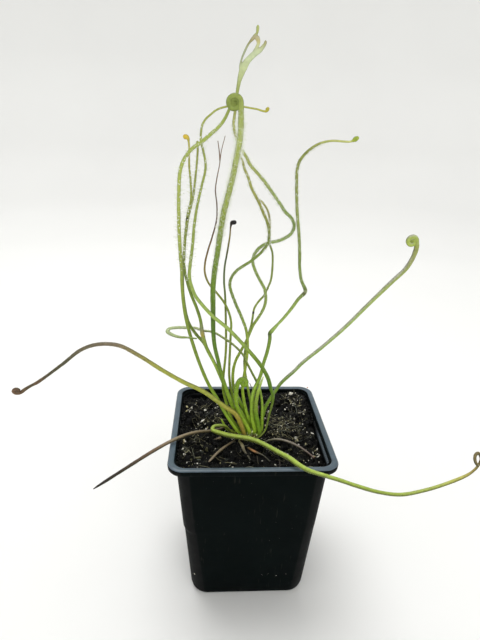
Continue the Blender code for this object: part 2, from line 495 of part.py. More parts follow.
def soil_body():
    """Tapered block of peat with an uneven top."""
    top_half = inside_half(SOIL_TOP - 2) - SOIL_GAP
    low_half = inside_half(FLOOR) - SOIL_GAP
    corner = BASE_CORNER - 1.2
    grid = []
    for j in range(SOIL_CELLS + 1):
        for i in range(SOIL_CELLS + 1):
            x = top_half * (2 * i / SOIL_CELLS - 1)
            y = top_half * (2 * j / SOIL_CELLS - 1)
            inner = top_half - corner
            over_x = max(0, abs(x) - inner)
            over_y = max(0, abs(y) - inner)
            far = math.hypot(over_x, over_y)
            if far > 0 and over_x > 0 and over_y > 0:
                pull = max(over_x, over_y) / far
                x = math.copysign(inner + over_x * pull, x)
                y = math.copysign(inner + over_y * pull, y)
            grid.append((x, y, ground(x, y)))
    row = SOIL_CELLS + 1
    border = list(range(row))
    border += [j * row + SOIL_CELLS for j in range(1, row)]
    border += [SOIL_CELLS * row + i for i in range(SOIL_CELLS - 1, -1, -1)]
    border += [j * row for j in range(SOIL_CELLS - 1, 0, -1)]
    points = list(grid)
    faces = []
    for j in range(SOIL_CELLS):
        for i in range(SOIL_CELLS):
            low = j * row + i
            faces.append((low, low + 1, low + row + 1))
            faces.append((low, low + row + 1, low + row))
    rings = [border]
    for height in (STEP_HEIGHT + 1.5, STEP_HEIGHT - 1.5, FLOOR + SOIL_GAP):
        shrink = (inside_half(height) - SOIL_GAP) / top_half
        if height < STEP_HEIGHT and height > FLOOR + 1:
            shrink = (inside_half(height) - SOIL_GAP - 0.1) / top_half
        ring = []
        for k in border:
            ring.append(len(points))
            points.append((grid[k][0] * shrink, grid[k][1] * shrink, height))
        rings.append(ring)
    for upper, lower in zip(rings, rings[1:]):
        for k in range(len(border)):
            after = (k + 1) % len(border)
            faces.append((upper[k], lower[k], lower[after], upper[after]))
    faces.append(tuple(reversed(rings[-1])))
    return add_body("peat_soil", points, faces, "peat")


smooth(soil_body(), 60)


def crown_body(rings=4, sides=20):
    """Low mound with a level underside resting on the peat."""
    bottom = SOIL_TOP + CROWN_GAP
    points = [(CROWN_CENTRE[0], CROWN_CENTRE[1], bottom + CROWN_HEIGHT)]
    for ring in range(1, rings + 1):
        out = ring / rings
        height = bottom + 0.15 + (CROWN_HEIGHT - 0.15) * (1 - out * out)
        for k in range(sides):
            turn = 2 * math.pi * k / sides
            points.append((CROWN_CENTRE[0] + CROWN_RADII[0] * out * math.cos(turn),
                           CROWN_CENTRE[1] + CROWN_RADII[1] * out * math.sin(turn), height))
    outer = 1 + (rings - 1) * sides
    base = len(points)
    for k in range(sides):
        points.append((points[outer + k][0], points[outer + k][1], bottom))
    faces = [(0, 1 + k, 1 + (k + 1) % sides) for k in range(sides)]
    for ring in range(rings - 1):
        low = 1 + ring * sides
        for k in range(sides):
            after = (k + 1) % sides
            faces.append((low + k, low + sides + k, low + sides + after, low + after))
    for k in range(sides):
        after = (k + 1) % sides
        faces.append((outer + k, base + k, base + after, outer + after))
    faces.append(tuple(base + k for k in reversed(range(sides))))
    return add_body("crown", points, faces, "petiole green")


smooth(crown_body())

for name, route in ROUTES.items():
    colour = LEAF_COLOUR.get(name, "pale green")
    if name in SCROLLS:
        route = route + scroll(*SCROLLS[name])
    leaf = tube(name, flowing(route), THICKNESS[name], colour)
    for twig, widths in BRANCHES.get(name, []):
        boolean(leaf, tube("branch", flowing(twig), widths, colour), "UNION")
    smooth(leaf, 60)
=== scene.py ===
"""Looks of the potted fork-leaved sundew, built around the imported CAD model.

Lengths are in millimetres, but those of the shaders and the studio are in metres. Colours are sRGB, 0 to 255.
Every piece rides on the body "root".
"""

import itertools
import math

import bmesh
import bpy
import numpy as np
from mathutils import Euler, Matrix, Vector, noise


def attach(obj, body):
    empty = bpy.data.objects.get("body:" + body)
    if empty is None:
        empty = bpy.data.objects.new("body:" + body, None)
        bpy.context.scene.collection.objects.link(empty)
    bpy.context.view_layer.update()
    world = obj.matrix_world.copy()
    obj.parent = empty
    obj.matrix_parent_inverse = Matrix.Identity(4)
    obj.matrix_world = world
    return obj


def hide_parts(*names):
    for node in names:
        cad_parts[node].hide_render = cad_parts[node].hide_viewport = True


MM = 0.001
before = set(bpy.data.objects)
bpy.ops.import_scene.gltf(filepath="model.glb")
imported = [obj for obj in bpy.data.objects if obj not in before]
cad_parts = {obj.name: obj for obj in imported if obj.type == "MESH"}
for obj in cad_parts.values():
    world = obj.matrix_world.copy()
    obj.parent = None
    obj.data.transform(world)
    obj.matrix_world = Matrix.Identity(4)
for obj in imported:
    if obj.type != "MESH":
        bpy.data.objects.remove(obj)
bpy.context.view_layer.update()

# Directions that the grooved side of a leaf faces.
FRONT = (0.0, -1.0, 0.0)
UPWARD = (0.0, 0.0, 1.0)
SLANTED = (0.0, -0.5, 0.85)
ROUND = ((0, 1), (1, 1))

SOIL_TOP = 91.8
CROWN = np.array([-1.8, -1.8])

# A foot's way inwards to the crown, its place above the soil, and how it widens there; unevenness of a leaf.
FOOT_PULL = 0.35
FOOT_RISE = 0.4
FOOT_FLARE = 0.12
FLARE_REACH = 7.0
UNEVEN = 0.06


# ---------------------------------------------------------------- mesh tools

def add_object(name, data):
    """A new object in the scene."""
    made = bpy.data.objects.new(name, data)
    bpy.context.scene.collection.objects.link(made)
    return made


def settle(piece, node, slot):
    """Ride the piece on the one body, in place of its CAD node."""
    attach(piece, "root")
    if node:
        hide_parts(node)


class Surface:
    """Collects the vertices and faces of one piece, with two shader values per vertex."""

    def __init__(self):
        self.points, self.faces, self.slots, self.along, self.tone = [], [], [], [], []
        self.count = 0

    def add(self, points, faces, slot=0, along=0.0, tone=0.5):
        """Add points, and face arrays of three or four corners each."""
        points = np.asarray(points, float).reshape(-1, 3)
        self.faces += [np.asarray(block, int) + self.count for block in faces]
        self.slots += [slot] * len(faces)
        self.points.append(points)
        self.along.append(np.broadcast_to(along, len(points)))
        self.tone.append(np.broadcast_to(tone, len(points)))
        self.count += len(points)

    def build(self, name, materials):
        """The collected piece as an object."""
        mesh = bpy.data.meshes.new(name)
        mesh.from_pydata((np.concatenate(self.points) * MM).tolist(), [],
                         [face for block in self.faces for face in block.tolist()])
        slots = np.repeat(self.slots, [len(block) for block in self.faces])
        mesh.polygons.foreach_set("material_index", slots)
        for label, values in (("along", self.along), ("tone", self.tone)):
            attribute = mesh.attributes.new(label, "FLOAT", "POINT")
            attribute.data.foreach_set("value", np.concatenate(values).astype(np.float32))
        for material in materials:
            mesh.materials.append(material)
        mesh.shade_smooth()
        return add_object(name, mesh)


def ring_faces(rings, sides, first=0):
    """Quads between rings of points that lie one after another."""
    k = np.arange(sides)
    low = first + np.arange(rings - 1)[:, None] * sides
    after = (k + 1) % sides
    return np.stack([low + k, low + after, low + sides + after, low + sides + k], 2).reshape(-1, 4)


def fan(hub, first, sides):
    """Triangles from a hub to the ring of points that begins at first."""
    k = np.arange(sides)
    return np.stack([np.full(sides, hub), first + k, first + (k + 1) % sides], 1)


def unit(v):
    """The vectors at length one."""
    return v / np.maximum(np.linalg.norm(v, axis=-1, keepdims=True), 1e-9)


def between(p, q, t, start, stop):
    """From p at start to q at stop."""
    return p + (q - p) * (t - start) / (stop - start)


def flowing(route, pitch):
    """Evenly spaced points along a smooth curve through the route."""
    knots = [np.array(p, float) for p in route]
    knots = [2 * knots[0] - knots[1]] + knots + [2 * knots[-1] - knots[-2]]
    dense = []
    for a, b, c, d in zip(knots, knots[1:], knots[2:], knots[3:]):
        t1 = np.linalg.norm(b - a) ** 0.5
        t2 = t1 + np.linalg.norm(c - b) ** 0.5
        t3 = t2 + np.linalg.norm(d - c) ** 0.5
        t = np.linspace(t1, t2, max(3, int(np.linalg.norm(c - b) / 0.2)), endpoint=False)[:, None]
        bc = between(b, c, t, t1, t2)
        abc = between(between(a, b, t, 0, t1), bc, t, 0, t2)
        bcd = between(bc, between(c, d, t, t2, t3), t, t1, t3)
        dense.append(between(abc, bcd, t, t1, t2))
    dense = np.concatenate(dense + [knots[-2][None]])
    travelled = np.concatenate([[0], np.cumsum(np.linalg.norm(np.diff(dense, axis=0), axis=1))])
    even = np.linspace(0, travelled[-1], max(4, int(travelled[-1] / pitch)))
    return np.stack([np.interp(even, travelled, dense[:, k]) for k in range(3)], 1)


def coil(centre, first, last, turns, bend, steps=44):
    """Points of a flat coil that rolls over to the left and inwards."""
    share = np.linspace(0, 1, steps)
    angle = 2 * math.pi * turns * share
    radius = first + (last - first) * share ** bend
    return [(centre[0] + r * math.cos(a), centre[1], centre[2] + r * math.sin(a))
            for r, a in zip(radius, angle)]


class Stalk:
    """Centreline of a leaf, with its frame, width and thickness at every step."""

    def __init__(self, route, radii, face=FRONT, flat=ROUND, pitch=0.5, flare=0.0, lead=0.0):
        self.line = flowing(route, pitch)
        gaps = np.linalg.norm(np.diff(self.line, axis=0), axis=1)
        travelled = np.concatenate([[0], np.cumsum(gaps)])
        self.length = travelled[-1] - lead
        self.share = np.maximum(0, travelled - lead) / self.length
        self.ahead = unit(np.gradient(self.line, axis=0))
        self.side = unit(np.cross(self.ahead, face))
        self.face = np.cross(self.side, self.ahead)
        radius = np.interp(self.share, *zip(*radii)) * (1 + flare * np.exp(-travelled / FLARE_REACH))
        radius *= 1 + UNEVEN * np.array([noise.noise(Vector(p) * 0.35) for p in self.line])
        aspect = np.interp(self.share, *zip(*flat))
        self.wide = radius * aspect
        self.thick = radius / np.sqrt(aspect)

    def skin(self, share, turn):
        """Points on the skin, with the outward direction and the direction of growth."""
        i = np.clip(np.searchsorted(self.share, share), 0, len(self.line) - 1)
        c, s = np.cos(turn)[:, None], np.sin(turn)[:, None]
        arm = self.side[i] * c * self.wide[i][:, None] + self.face[i] * s * self.thick[i][:, None]
        return self.line[i] + arm * 0.95, unit(self.side[i] * c + self.face[i] * s), self.ahead[i]


def sweep(surface, stalk, slot=0, sides=12, groove=0.22, start=0.0, tone=None):
    """Skin the stalk with an oval section, grooved along its face, with rounded ends."""
    turn = 2 * math.pi * np.arange(sides) / sides
    c, s = np.cos(turn), np.sin(turn)
    lift = s - groove * np.exp(-(c / 0.45) ** 2) * np.maximum(s, 0)
    last = len(stalk.line) - 1
    caps = np.radians((78, 52, 26))
    at = np.concatenate([[0] * 3, np.arange(last + 1), [last] * 3])
    lean = np.concatenate([-caps, np.zeros(last + 1), caps[::-1]])
    centre = stalk.line[at] + stalk.ahead[at] * (np.sin(lean) * stalk.thick[at])[:, None]
    wide, thick = stalk.wide[at] * np.cos(lean), stalk.thick[at] * np.cos(lean)
    points = (centre[:, None] + stalk.side[at][:, None] * np.outer(wide, c)[:, :, None]
              + stalk.face[at][:, None] * np.outer(thick, lift)[:, :, None])
    ends = [stalk.line[0] - stalk.ahead[0] * stalk.thick[0],
            stalk.line[last] + stalk.ahead[last] * stalk.thick[last]]
    head = len(at) * sides
    faces = [ring_faces(len(at), sides), fan(head, 0, sides)[:, ::-1], fan(head + 1, head - sides, sides)]
    along = start + (1 - start) * np.concatenate([np.repeat(stalk.share[at], sides), [0, 1]])
    # By default tone follows where round the section the skin faces, 1 on the grooved face; leaf skins draw
    # their painted shade and highlight from it.
    if tone is None:
        tone = np.concatenate([np.tile(0.5 + 0.5 * s, len(at)), [0.5, 0.5]])
    surface.add(np.concatenate([points.reshape(-1, 3), ends]), faces, slot, along, tone)


def finer(corners, faces):
    """A round bead with each face split in four."""
    corners, split, middle = list(corners), [], {}
    for a, b, c in faces:
        mids = []
        for p, q in ((a, b), (b, c), (c, a)):
            key = (min(p, q), max(p, q))
            if key not in middle:
                middle[key] = len(corners)
                corners.append(unit(corners[p] + corners[q]))
            mids.append(middle[key])
        split += [(a, mids[0], mids[2]), (mids[0], b, mids[1]), (mids[2], mids[1], c), mids]
    return np.array(corners), np.array(split)


TINY_BEAD = (
    np.array([(1, 0, 0), (-1, 0, 0), (0, 1, 0), (0, -1, 0), (0, 0, 1), (0, 0, -1)], float),
    np.array([(0, 2, 4), (2, 1, 4), (1, 3, 4), (3, 0, 4), (2, 0, 5), (1, 2, 5), (3, 1, 5), (0, 3, 5)]))
BEAD = finer(*TINY_BEAD)
HAIR_RADIUS = 0.07
FADE_LENGTH = 6.0
DEW_SLOT = 2


def beads(surface, centres, radii, along, stretch, tiny):
    """Round drops of dew, each drawn out along its own direction."""
    shape, faces = TINY_BEAD if tiny else BEAD
    points = shape[None] * radii[:, None, None]
    points = points + np.einsum("nkc,nc->nk", points, stretch)[:, :, None] * stretch[:, None] * 0.3
    faces = (np.arange(len(centres))[:, None, None] * len(shape) + faces).reshape(-1, 3)
    surface.add(points + centres[:, None], [faces], DEW_SLOT, np.repeat(along, len(shape)), 1.0)


def tentacles(surface, stalk, rng, low, high, per_mm, long, drop, towards, spread, slot):
    """Glandular hairs, most with a bead of dew, along one stretch of a leaf."""
    count = int(stalk.length * (high - low) * per_mm)
    share = low + (high - low) * (np.arange(count) + rng.random(count)) / count
    near = np.minimum(share - low, high - share) * stalk.length
    fade = np.clip(near / FADE_LENGTH, 0.12, 1)
    keep = rng.random(count) < fade ** 0.6
    share, fade = share[keep], fade[keep]
    count = len(share)
    turn = np.radians(towards + spread * (2 * rng.random(count) - 1))
    root, out, ahead = stalk.skin(share, turn)
    aim = unit(out + ahead * 0.15 + 0.22 * rng.standard_normal((count, 3)))
    size = long * (0.6 + 0.6 * rng.random(count)) * (0.4 + 0.6 * fade)
    size = (size * (0.55 + 0.45 * np.abs(np.cos(turn))))[:, None]
    elbow = root + aim * size * 0.55
    tip = elbow + unit(aim + 0.3 * ahead + np.array([0, 0, -0.12])) * size * 0.45
    across = unit(np.cross(aim, ahead + 0.001))
    other = np.cross(aim, across)
    rings = [centre + (across * math.cos(a) + other * math.sin(a)) * radius
             for centre, radius in ((root, HAIR_RADIUS), (elbow, 0.7 * HAIR_RADIUS), (tip, 0.6 * HAIR_RADIUS))
             for a in np.radians((0, 120, 240))]
    base = np.arange(count)[:, None, None] * len(rings)
    sides = (base + ring_faces(3, 3)).reshape(-1, 4)
    ends = (base + np.array([(2, 1, 0), (6, 7, 8)])).reshape(-1, 3)
    surface.add(np.stack(rings, 1), [sides, ends], slot,
                np.repeat(share, 9), np.tile(np.repeat([0.0, 0.6, 1.0], 3), count))
    moist = rng.random(count) < (0.85 if drop > 0.09 else 0.5)
    radii = drop * (0.55 + 0.75 * rng.random(count) ** 1.5)
    if drop > 0:
        beads(surface, tip[moist], radii[moist], share[moist], aim[moist], drop < 0.11)


# ---------------------------------------------------------------- materials

def linear(colour):
    """Linear colour of an sRGB one given in 0 to 255."""
    return tuple(((v / 255 + 0.055) / 1.055) ** 2.4 if v > 10 else v / 3294.6 for v in colour) + (1.0,)


class Shader:
    """A Principled material with short-hand for the nodes that feed it."""

    def __init__(self, name, roughness=0.5, specular=0.4):
        self.material = bpy.data.materials.new(name)
        self.material.use_nodes = True
        self.tree = self.material.node_tree
        self.main = self.tree.nodes["Principled BSDF"]
        self.set(roughness=roughness, specular_ior_level=specular)
        self.place = self.node("ShaderNodeTexCoord").outputs["Object"]

    def set(self, **values):
        """Set sockets of the main node by their names in plain words."""
        for key, value in values.items():
            label = " ".join(word.upper() if word == "ior" else word.title() for word in key.split("_"))
            self.main.inputs[label].default_value = value

    def node(self, kind, links=(), **values):
        """A new node with its options, and its sockets linked or set."""
        made = self.tree.nodes.new(kind)
        for key, value in values.items():
            setattr(made, key, value)
        for socket, value in dict(links).items():
            if isinstance(value, bpy.types.NodeSocket):
                self.tree.links.new(value, made.inputs[socket])
            else:
                made.inputs[socket].default_value = value
        return made

    def attribute(self, label):
        """A value stored at the vertices."""
        return self.node("ShaderNodeAttribute", attribute_name=label).outputs["Fac"]

    def parts(self, vector):
        """X, Y and Z of a vector."""
        return self.node("ShaderNodeSeparateXYZ", {0: vector}).outputs

    def noise(self, scale, detail=4.0, roughness=0.55, place=None):
        """Noise between 0 and 1, over the object unless a place is given."""
        made = self.node("ShaderNodeTexNoise", {
            "Vector": place or self.place, "Scale": scale, "Detail": detail, "Roughness": roughness})
        return made.outputs["Fac"]

    def span(self, value, low, high, to_low, to_high, ease="LINEAR"):
        """The value mapped from one range to another, and held at its ends."""
        return self.node("ShaderNodeMapRange", {
            "Value": value, "From Min": low, "From Max": high, "To Min": to_low, "To Max": to_high},
            interpolation_type=ease).outputs["Result"]

    def patches(self, scale, low, high, to_low, to_high, *texture):
        """Noise of that scale, mapped; texture is its detail, roughness and place."""
        return self.span(self.noise(scale, *texture), low, high, to_low, to_high)

    def ramp(self, value, stops):
        """Colour by value; each stop is a position and three channels."""
        made = self.node("ShaderNodeValToRGB", {"Fac": value})
        elements = made.color_ramp.elements
        while len(elements) < len(stops):
            elements.new(0.5)
        for element, (position, *_) in zip(elements, stops):
            element.position = position
        for element, (_, *colour) in zip(elements, stops):
            element.color = linear(colour)
        return made.outputs["Color"]

    def blend(self, amount, first, second):
        """A mix of two colours."""
        return self.node("ShaderNodeMix", {0: amount, 6: first, 7: second}, data_type="RGBA").outputs[2]

    def brighten(self, colour, factor, saturation=1.0):
        """The colour at another brightness and saturation."""
        return self.node("ShaderNodeHueSaturation", {
            "Color": colour, "Value": factor, "Saturation": saturation}).outputs["Color"]

    def math(self, operation, first, second=0.0):
        """One sum on values."""
        return self.node("ShaderNodeMath", {0: first, 1: second}, operation=operation).outputs[0]

    def times(self, product, *factors):
        """The product of all the values."""
        for factor in factors:
            product = self.math("MULTIPLY", product, factor)
        return product

    def bump(self, strength, reach, *texture):
        """Fine relief from noise; reach in millimetres."""
        made = self.node("ShaderNodeBump", {"Height": self.noise(*texture), "Strength": strength,
                                            "Distance": reach * MM})
        self.feed("Normal", made.outputs["Normal"])

    def feed(self, label, value):
        """Link a value to a socket of the main node."""
        self.tree.links.new(value, self.main.inputs[label])


def leaf_shader(name, tint, upper=None, mottle=0.2, fresh=0.0):
    """Leaf skin: colour along its length, mottled, streaked, with painted shade on its sides, a painted
    highlight on its grooved face, and painted light near the crown and, if an upper colour is given, on faces
    turned up.
    """
    skin = Shader(name, 0.42, 0.28)
    along, tone = skin.attribute("along"), skin.attribute("tone")
    height = skin.parts(skin.place)["Z"]
    spread = skin.node("ShaderNodeCombineXYZ", {"X": skin.times(along, 9.0), "Y": skin.times(tone, 6.0)})
    # Painted shade and highlight: the last factor darkens the sides of the skin to 0.42 and lightens its
    # grooved face to 1.16.
    shade = skin.times(skin.patches(650, 0.3, 0.7, 1 - mottle, 1 + mottle),
                       skin.patches(3.0, 0.3, 0.7, 0.9, 1.1, 3.0, 0.6, spread.outputs[0]),
                       skin.span(tone, 0.4, 0.95, 0.42, 1.16, "SMOOTHSTEP"))
    # Painted shade: the sides are also tinted towards dark olive.
    colour = skin.blend(skin.span(tone, 0.45, 0.8, 0.22, 0.0), skin.ramp(along, tint), linear((112, 108, 40)))
    if fresh:
        colour = skin.blend(skin.span(height, 0.1, 0.135, fresh, 0.0), colour, linear((136, 168, 36)))
        # Painted light: near the crown the skin is brightened, up to 1.25 times, against the shade that falls
        # there.
        shade = skin.times(shade, skin.span(height, 0.105, 0.165, 1.25, 1.0))
    if upper:
        # Painted light: skin that faces up, above 112 mm, turns in patches to the upper colour.
        facing = skin.parts(skin.node("ShaderNodeNewGeometry").outputs["Normal"])
        lit = skin.times(skin.span(facing["Z"], 0.0, 0.55, 0.0, 0.9),
                         skin.span(height, 0.112, 0.14, 0.0, 1.0), skin.patches(260, 0.35, 0.6, 0.3, 1.0))
        colour = skin.blend(lit, colour, linear(upper))
    skin.feed("Base Color", skin.brighten(colour, skin.times(shade, 1.12), 0.98))
    skin.feed("Roughness", skin.patches(900, 0.3, 0.7, 0.32, 0.52))
    skin.bump(0.25, 0.15, 2400, 3.0)
    skin.set(subsurface_weight=0.08, subsurface_radius=(1.0, 1.0, 0.3), subsurface_scale=0.0005,
             coat_weight=0.12, coat_roughness=0.25)
    return skin.material


def hair_shader(name, foot, head, painted_glow=0.05):
    """Glandular hair, greener at its foot, with a faint painted glow standing in for light through the hair.
    """
    hair = Shader(name, 0.35, 0.5)
    colour = hair.ramp(hair.attribute("tone"), [(0, *foot), (0.55, *head), (1, *head)])
    hair.feed("Base Color", hair.brighten(colour, hair.patches(500, 0.3, 0.7, 0.9, 1.12)))
    # Painted glow: a weak emission in the head colour.
    hair.set(subsurface_weight=0.3, subsurface_radius=(1.0, 1.0, 0.7), subsurface_scale=0.0004,
             emission_color=linear(head), emission_strength=painted_glow)
    return hair.material


def dew_shader():
    """Sticky drop of clear dew, slightly milky; its near-white base and faint glow are painted sparkle."""
    dew = Shader("dew", 0.04, 0.6)
    milk_and_painted_sparkle = linear((246, 249, 236))
    dew.feed("Base Color", dew.blend(dew.patches(900, 0.35, 0.65, 0.0, 1.0), milk_and_painted_sparkle, linear((255, 255, 252))))
    # Painted glow: a weak emission in the milky colour.
    dew.set(ior=1.36, transmission_weight=0.1, coat_weight=0.6, coat_roughness=0.03,
            emission_color=milk_and_painted_sparkle, emission_strength=0.1)
    return dew.material


DEW = dew_shader()
# Each hair has a small painted glow; the last number, where given, is its strength.
HAIR = hair_shader("hair_pale", (156, 176, 104), (210, 216, 182), 0.1)
HAIR_WHITE = hair_shader("hair_white", (200, 210, 168), (228, 230, 216), 0.2)
HAIR_YELLOW = hair_shader("hair_yellow", (170, 180, 90), (214, 214, 160))
HAIR_DULL = hair_shader("hair_dull", (110, 100, 80), (150, 140, 120))
HAIR_VIOLET = hair_shader("hair_violet", (160, 162, 138), (204, 198, 198), 0.14)


# ---------------------------------------------------------------- leaves

CROWN_GREEN = (160, 190, 54)
LYING = {"face": UPWARD, "rooted": False, "fresh": 0.0}
seeds = itertools.count(100)


def antler(surface):
    """Flat forked tip, its branches melted into one skin."""
    twigs = [
        ([(-15.3, -4, 267.8), (-13.5, -3.6, 271.2), (-11.7, -3, 274.7), (-11.1, -3, 277.9),
          (-10.6, -3, 280.6), (-9.8, -3, 283.4), (-8.8, -3, 286), (-7.5, -3, 288.3), (-6, -3, 290),
          (-4.6, -3, 291.3), (-3, -3, 292.5), (-1.4, -3, 293.5), (-0.2, -3, 294.8), (0.6, -3, 296),
          (0.8, -3, 297.2)],
         [(0, 0.75), (0.25, 0.78), (0.4, 0.98), (0.48, 1.35), (0.57, 1.75), (0.66, 1.42), (0.76, 1.35),
          (0.85, 1.25), (0.9, 0.92), (0.95, 0.75), (0.98, 0.66), (0.993, 0.5), (1, 0.25)]),
        ([(-10.2, -3, 284.5), (-10.35, -3, 286.6), (-10.1, -3, 288), (-9.6, -3, 289.9), (-8.8, -3, 291.8),
          (-7.8, -3, 293.9), (-6.6, -3, 295.9), (-5.2, -3, 297.5), (-4.1, -3, 298.8), (-3.3, -3, 299.8),
          (-3, -3, 300.9), (-2.95, -3, 302), (-2.95, -3, 303)],
         [(0, 0.7), (0.25, 0.5), (0.62, 0.54), (0.72, 0.85), (0.79, 0.8), (0.85, 0.56), (0.93, 0.76),
          (0.97, 0.72), (0.99, 0.55), (1, 0.3)]),
        ([(-4.6, -3, 291.2), (-4, -3, 292.8), (-3.1, -3.1, 294.3), (-2.5, -3.2, 295.7), (-2.5, -3.2, 296.8),
          (-3, -3.1, 297.9), (-3.6, -3, 298.8)],
         [(0, 0.95), (0.3, 0.8), (0.55, 0.72), (0.75, 1), (0.9, 1.1), (1, 0.7)])]
    aspect = 1.45
    rough = Surface()
    for route, widths in twigs:
        radii = [(share, width / aspect) for share, width in widths]
        sweep(rough, Stalk(route, radii, FRONT, ((0, 1.1), (0.35, aspect), (1, aspect)), 0.25), groove=0.1)
    piece = rough.build("antler_draft", [])
    piece.data.transform(Matrix.Scale(1 / MM, 4))
    melt = piece.modifiers.new("melt", "REMESH")
    melt.mode = "VOXEL"
    melt.voxel_size = 0.13
    piece.modifiers.new("soften", "SMOOTH").iterations = 14
    done = bpy.data.meshes.new_from_object(piece.evaluated_get(bpy.context.evaluated_depsgraph_get()))
    points = np.array([v.co[:] for v in done.vertices])
    quads = np.array([p.vertices[:] for p in done.polygons if len(p.vertices) == 4])
    bpy.data.objects.remove(piece, do_unlink=True)
    along = np.clip(0.875 + (points[:, 2] - 275) / 27 * 0.125, 0.86, 1)
    # Tone is 1 on the front of the fork and 0 on its back, for the painted shade and highlight of the leaf
    # skin.
    tone = 0.5 - 0.5 * np.clip((points[:, 1] + 3) / 0.7, -1, 1)
    surface.add(points, [quads], 0, along, tone)


def grow(name, slot, route, radii, tint, hair=HAIR_DULL, zones=(), face=FRONT, flat=ROUND, rooted=True,
         fresh=0.75, upper=None, mottle=0.2, stop=None, twig=None):
    """One leaf: its skin, run down into the crown, and the zones where its hairs stand."""
    rng = np.random.default_rng(next(seeds))
    route = [np.array(p, float) for p in route]
    lead = 0.0
    if rooted:
        foot = np.append(route[0][:2] + (CROWN - route[0][:2]) * FOOT_PULL, SOIL_TOP + FOOT_RISE)
        lead = float(np.linalg.norm(route[0] - foot))
        route = [foot] + route
    stalk = Stalk(route, radii, face, flat, flare=FOOT_FLARE if rooted else 0.0, lead=lead)
    surface = Surface()
    if stop:
        keep = int(np.searchsorted(stalk.share, stop))
        short = Stalk(stalk.line[:keep], radii, face)
        short.share, short.wide, short.thick = stalk.share[:keep], stalk.wide[:keep], stalk.thick[:keep]
        sweep(surface, short)
        antler(surface)
    else:
        sweep(surface, stalk)
    materials = [leaf_shader(name + "_skin", tint, upper, mottle, fresh), hair, DEW]
    for low, high, per_mm, long, drop, *special in zones:
        towards, spread, coat = special + [90, 180, hair][len(special):]
        if coat not in materials:
            materials.append(coat)
        tentacles(surface, stalk, rng, low, high, per_mm, long, drop, towards, spread, materials.index(coat))
    if twig:
        sweep(surface, Stalk(twig, [(0, 0.3), (1, 0.2)]), start=0.96)
    settle(surface.build(name + "_grown", materials), name, slot)


# Routes run from base to tip, as in the CAD source. Half-thickness and colour go by the share of the length.
# A zone of hairs: from, to, hairs per mm, length, drop, and where they differ its direction, spread and coat.
grow("tall_coiled_leaf", "green_leaf", [(-2.8, -3, 95.1), (-6.6, -2.1, 102.4), (-9.8, -1.8, 109.7),
    (-12.6, -2, 117.5), (-16.4, -2.5, 129.5), (-18.8, -3, 140), (-20.7, -3.8, 149), (-21.5, -4.5, 157),
    (-21.8, -5, 172), (-21.9, -5.5, 182), (-21.2, -6, 191.5), (-19.8, -6.5, 201.5), (-18.5, -7.5, 211.5),
    (-17.1, -8, 221), (-14.8, -9, 231), (-12.6, -10, 240.5), (-11, -11, 250), (-9.9, -12, 258),
    (-9.8, -12, 264), (-9.95, -12, 268.4), *coil((-12.85, -12, 271), 2.8, 0.5, 1.8, 2)],
    radii=[(0, 1.35), (0.1, 1.25), (0.2, 1.1), (0.3, 1.12), (0.38, 1.32), (0.5, 1.38), (0.8, 1.38),
        (0.88, 1.35), (0.95, 1.2), (0.985, 1.2), (1, 1.28)],
    tint=[(0, *CROWN_GREEN), (0.05, 116, 140, 42), (0.18, 94, 122, 30), (0.34, 74, 106, 24),
        (0.44, 92, 120, 26), (0.54, 104, 128, 38), (0.66, 138, 152, 62), (0.82, 160, 172, 90),
        (0.885, 140, 152, 74), (0.93, 126, 140, 64), (0.96, 116, 130, 56), (1, 108, 120, 48)],
    zones=[(0.36, 0.46, 12, 0.5, 0.06), (0.46, 0.58, 22, 1.1, 0.1), (0.56, 0.872, 36, 1.6, 0.13)],
    hair=HAIR_WHITE)
grow("forked_tip_leaf", "pale_green_leaf", [(-6.6, -4.4, 94.7), (-11.6, -2.8, 101.6), (-15.9, -1, 108.5),
    (-19.5, 0, 115.2), (-23.8, 0.5, 122.7), (-28.5, 1, 134.3), (-32.7, 1.5, 147.4), (-36.1, 1.5, 161.2),
    (-37.5, 1, 170.7), (-38.3, 0, 183.8), (-38.2, -1, 190.3), (-38.8, -1.6, 200.5), (-39.1, -2, 210.4),
    (-39.1, -3, 220.4), (-38.8, -4, 230.4), (-38, -5, 240.3), (-36.4, -5.5, 245.3), (-33, -6, 250.2),
    (-26.8, -6, 254.8), (-22.8, -6, 258.2), (-19.4, -5.5, 261.2), (-17, -4.5, 264.4), (-15.3, -4, 267.8),
    (-13.5, -3.5, 271.5), (-11.6, -3, 276), (-10.8, -3, 280.3), (-9.3, -3, 285), (-6.9, -3, 287.8),
    (-3.9, -3, 290.8), (-1.7, -3, 292.9), (0, -3, 294.5), (0.8, -3, 296), (0.9, -3, 297.4)],
    radii=[(0, 1.1), (0.1, 1), (0.3, 0.95), (0.6, 0.88), (0.78, 0.82), (0.86, 0.66), (1, 0.66)],
    tint=[(0, *CROWN_GREEN), (0.05, 112, 134, 42), (0.2, 108, 130, 40), (0.38, 120, 140, 48),
        (0.5, 146, 158, 76), (0.64, 158, 170, 84), (0.8, 150, 164, 76), (0.88, 160, 172, 92),
        (0.92, 180, 190, 140), (0.955, 184, 194, 156), (0.968, 186, 190, 140), (0.976, 176, 168, 112),
        (0.984, 170, 162, 132), (0.99, 176, 184, 110), (1, 182, 192, 112)],
    zones=[(0.46, 0.72, 4.5, 1.7, 0.24), (0.7, 0.82, 7, 1.2, 0.2)],
    hair=HAIR, mottle=0.1, stop=0.86)
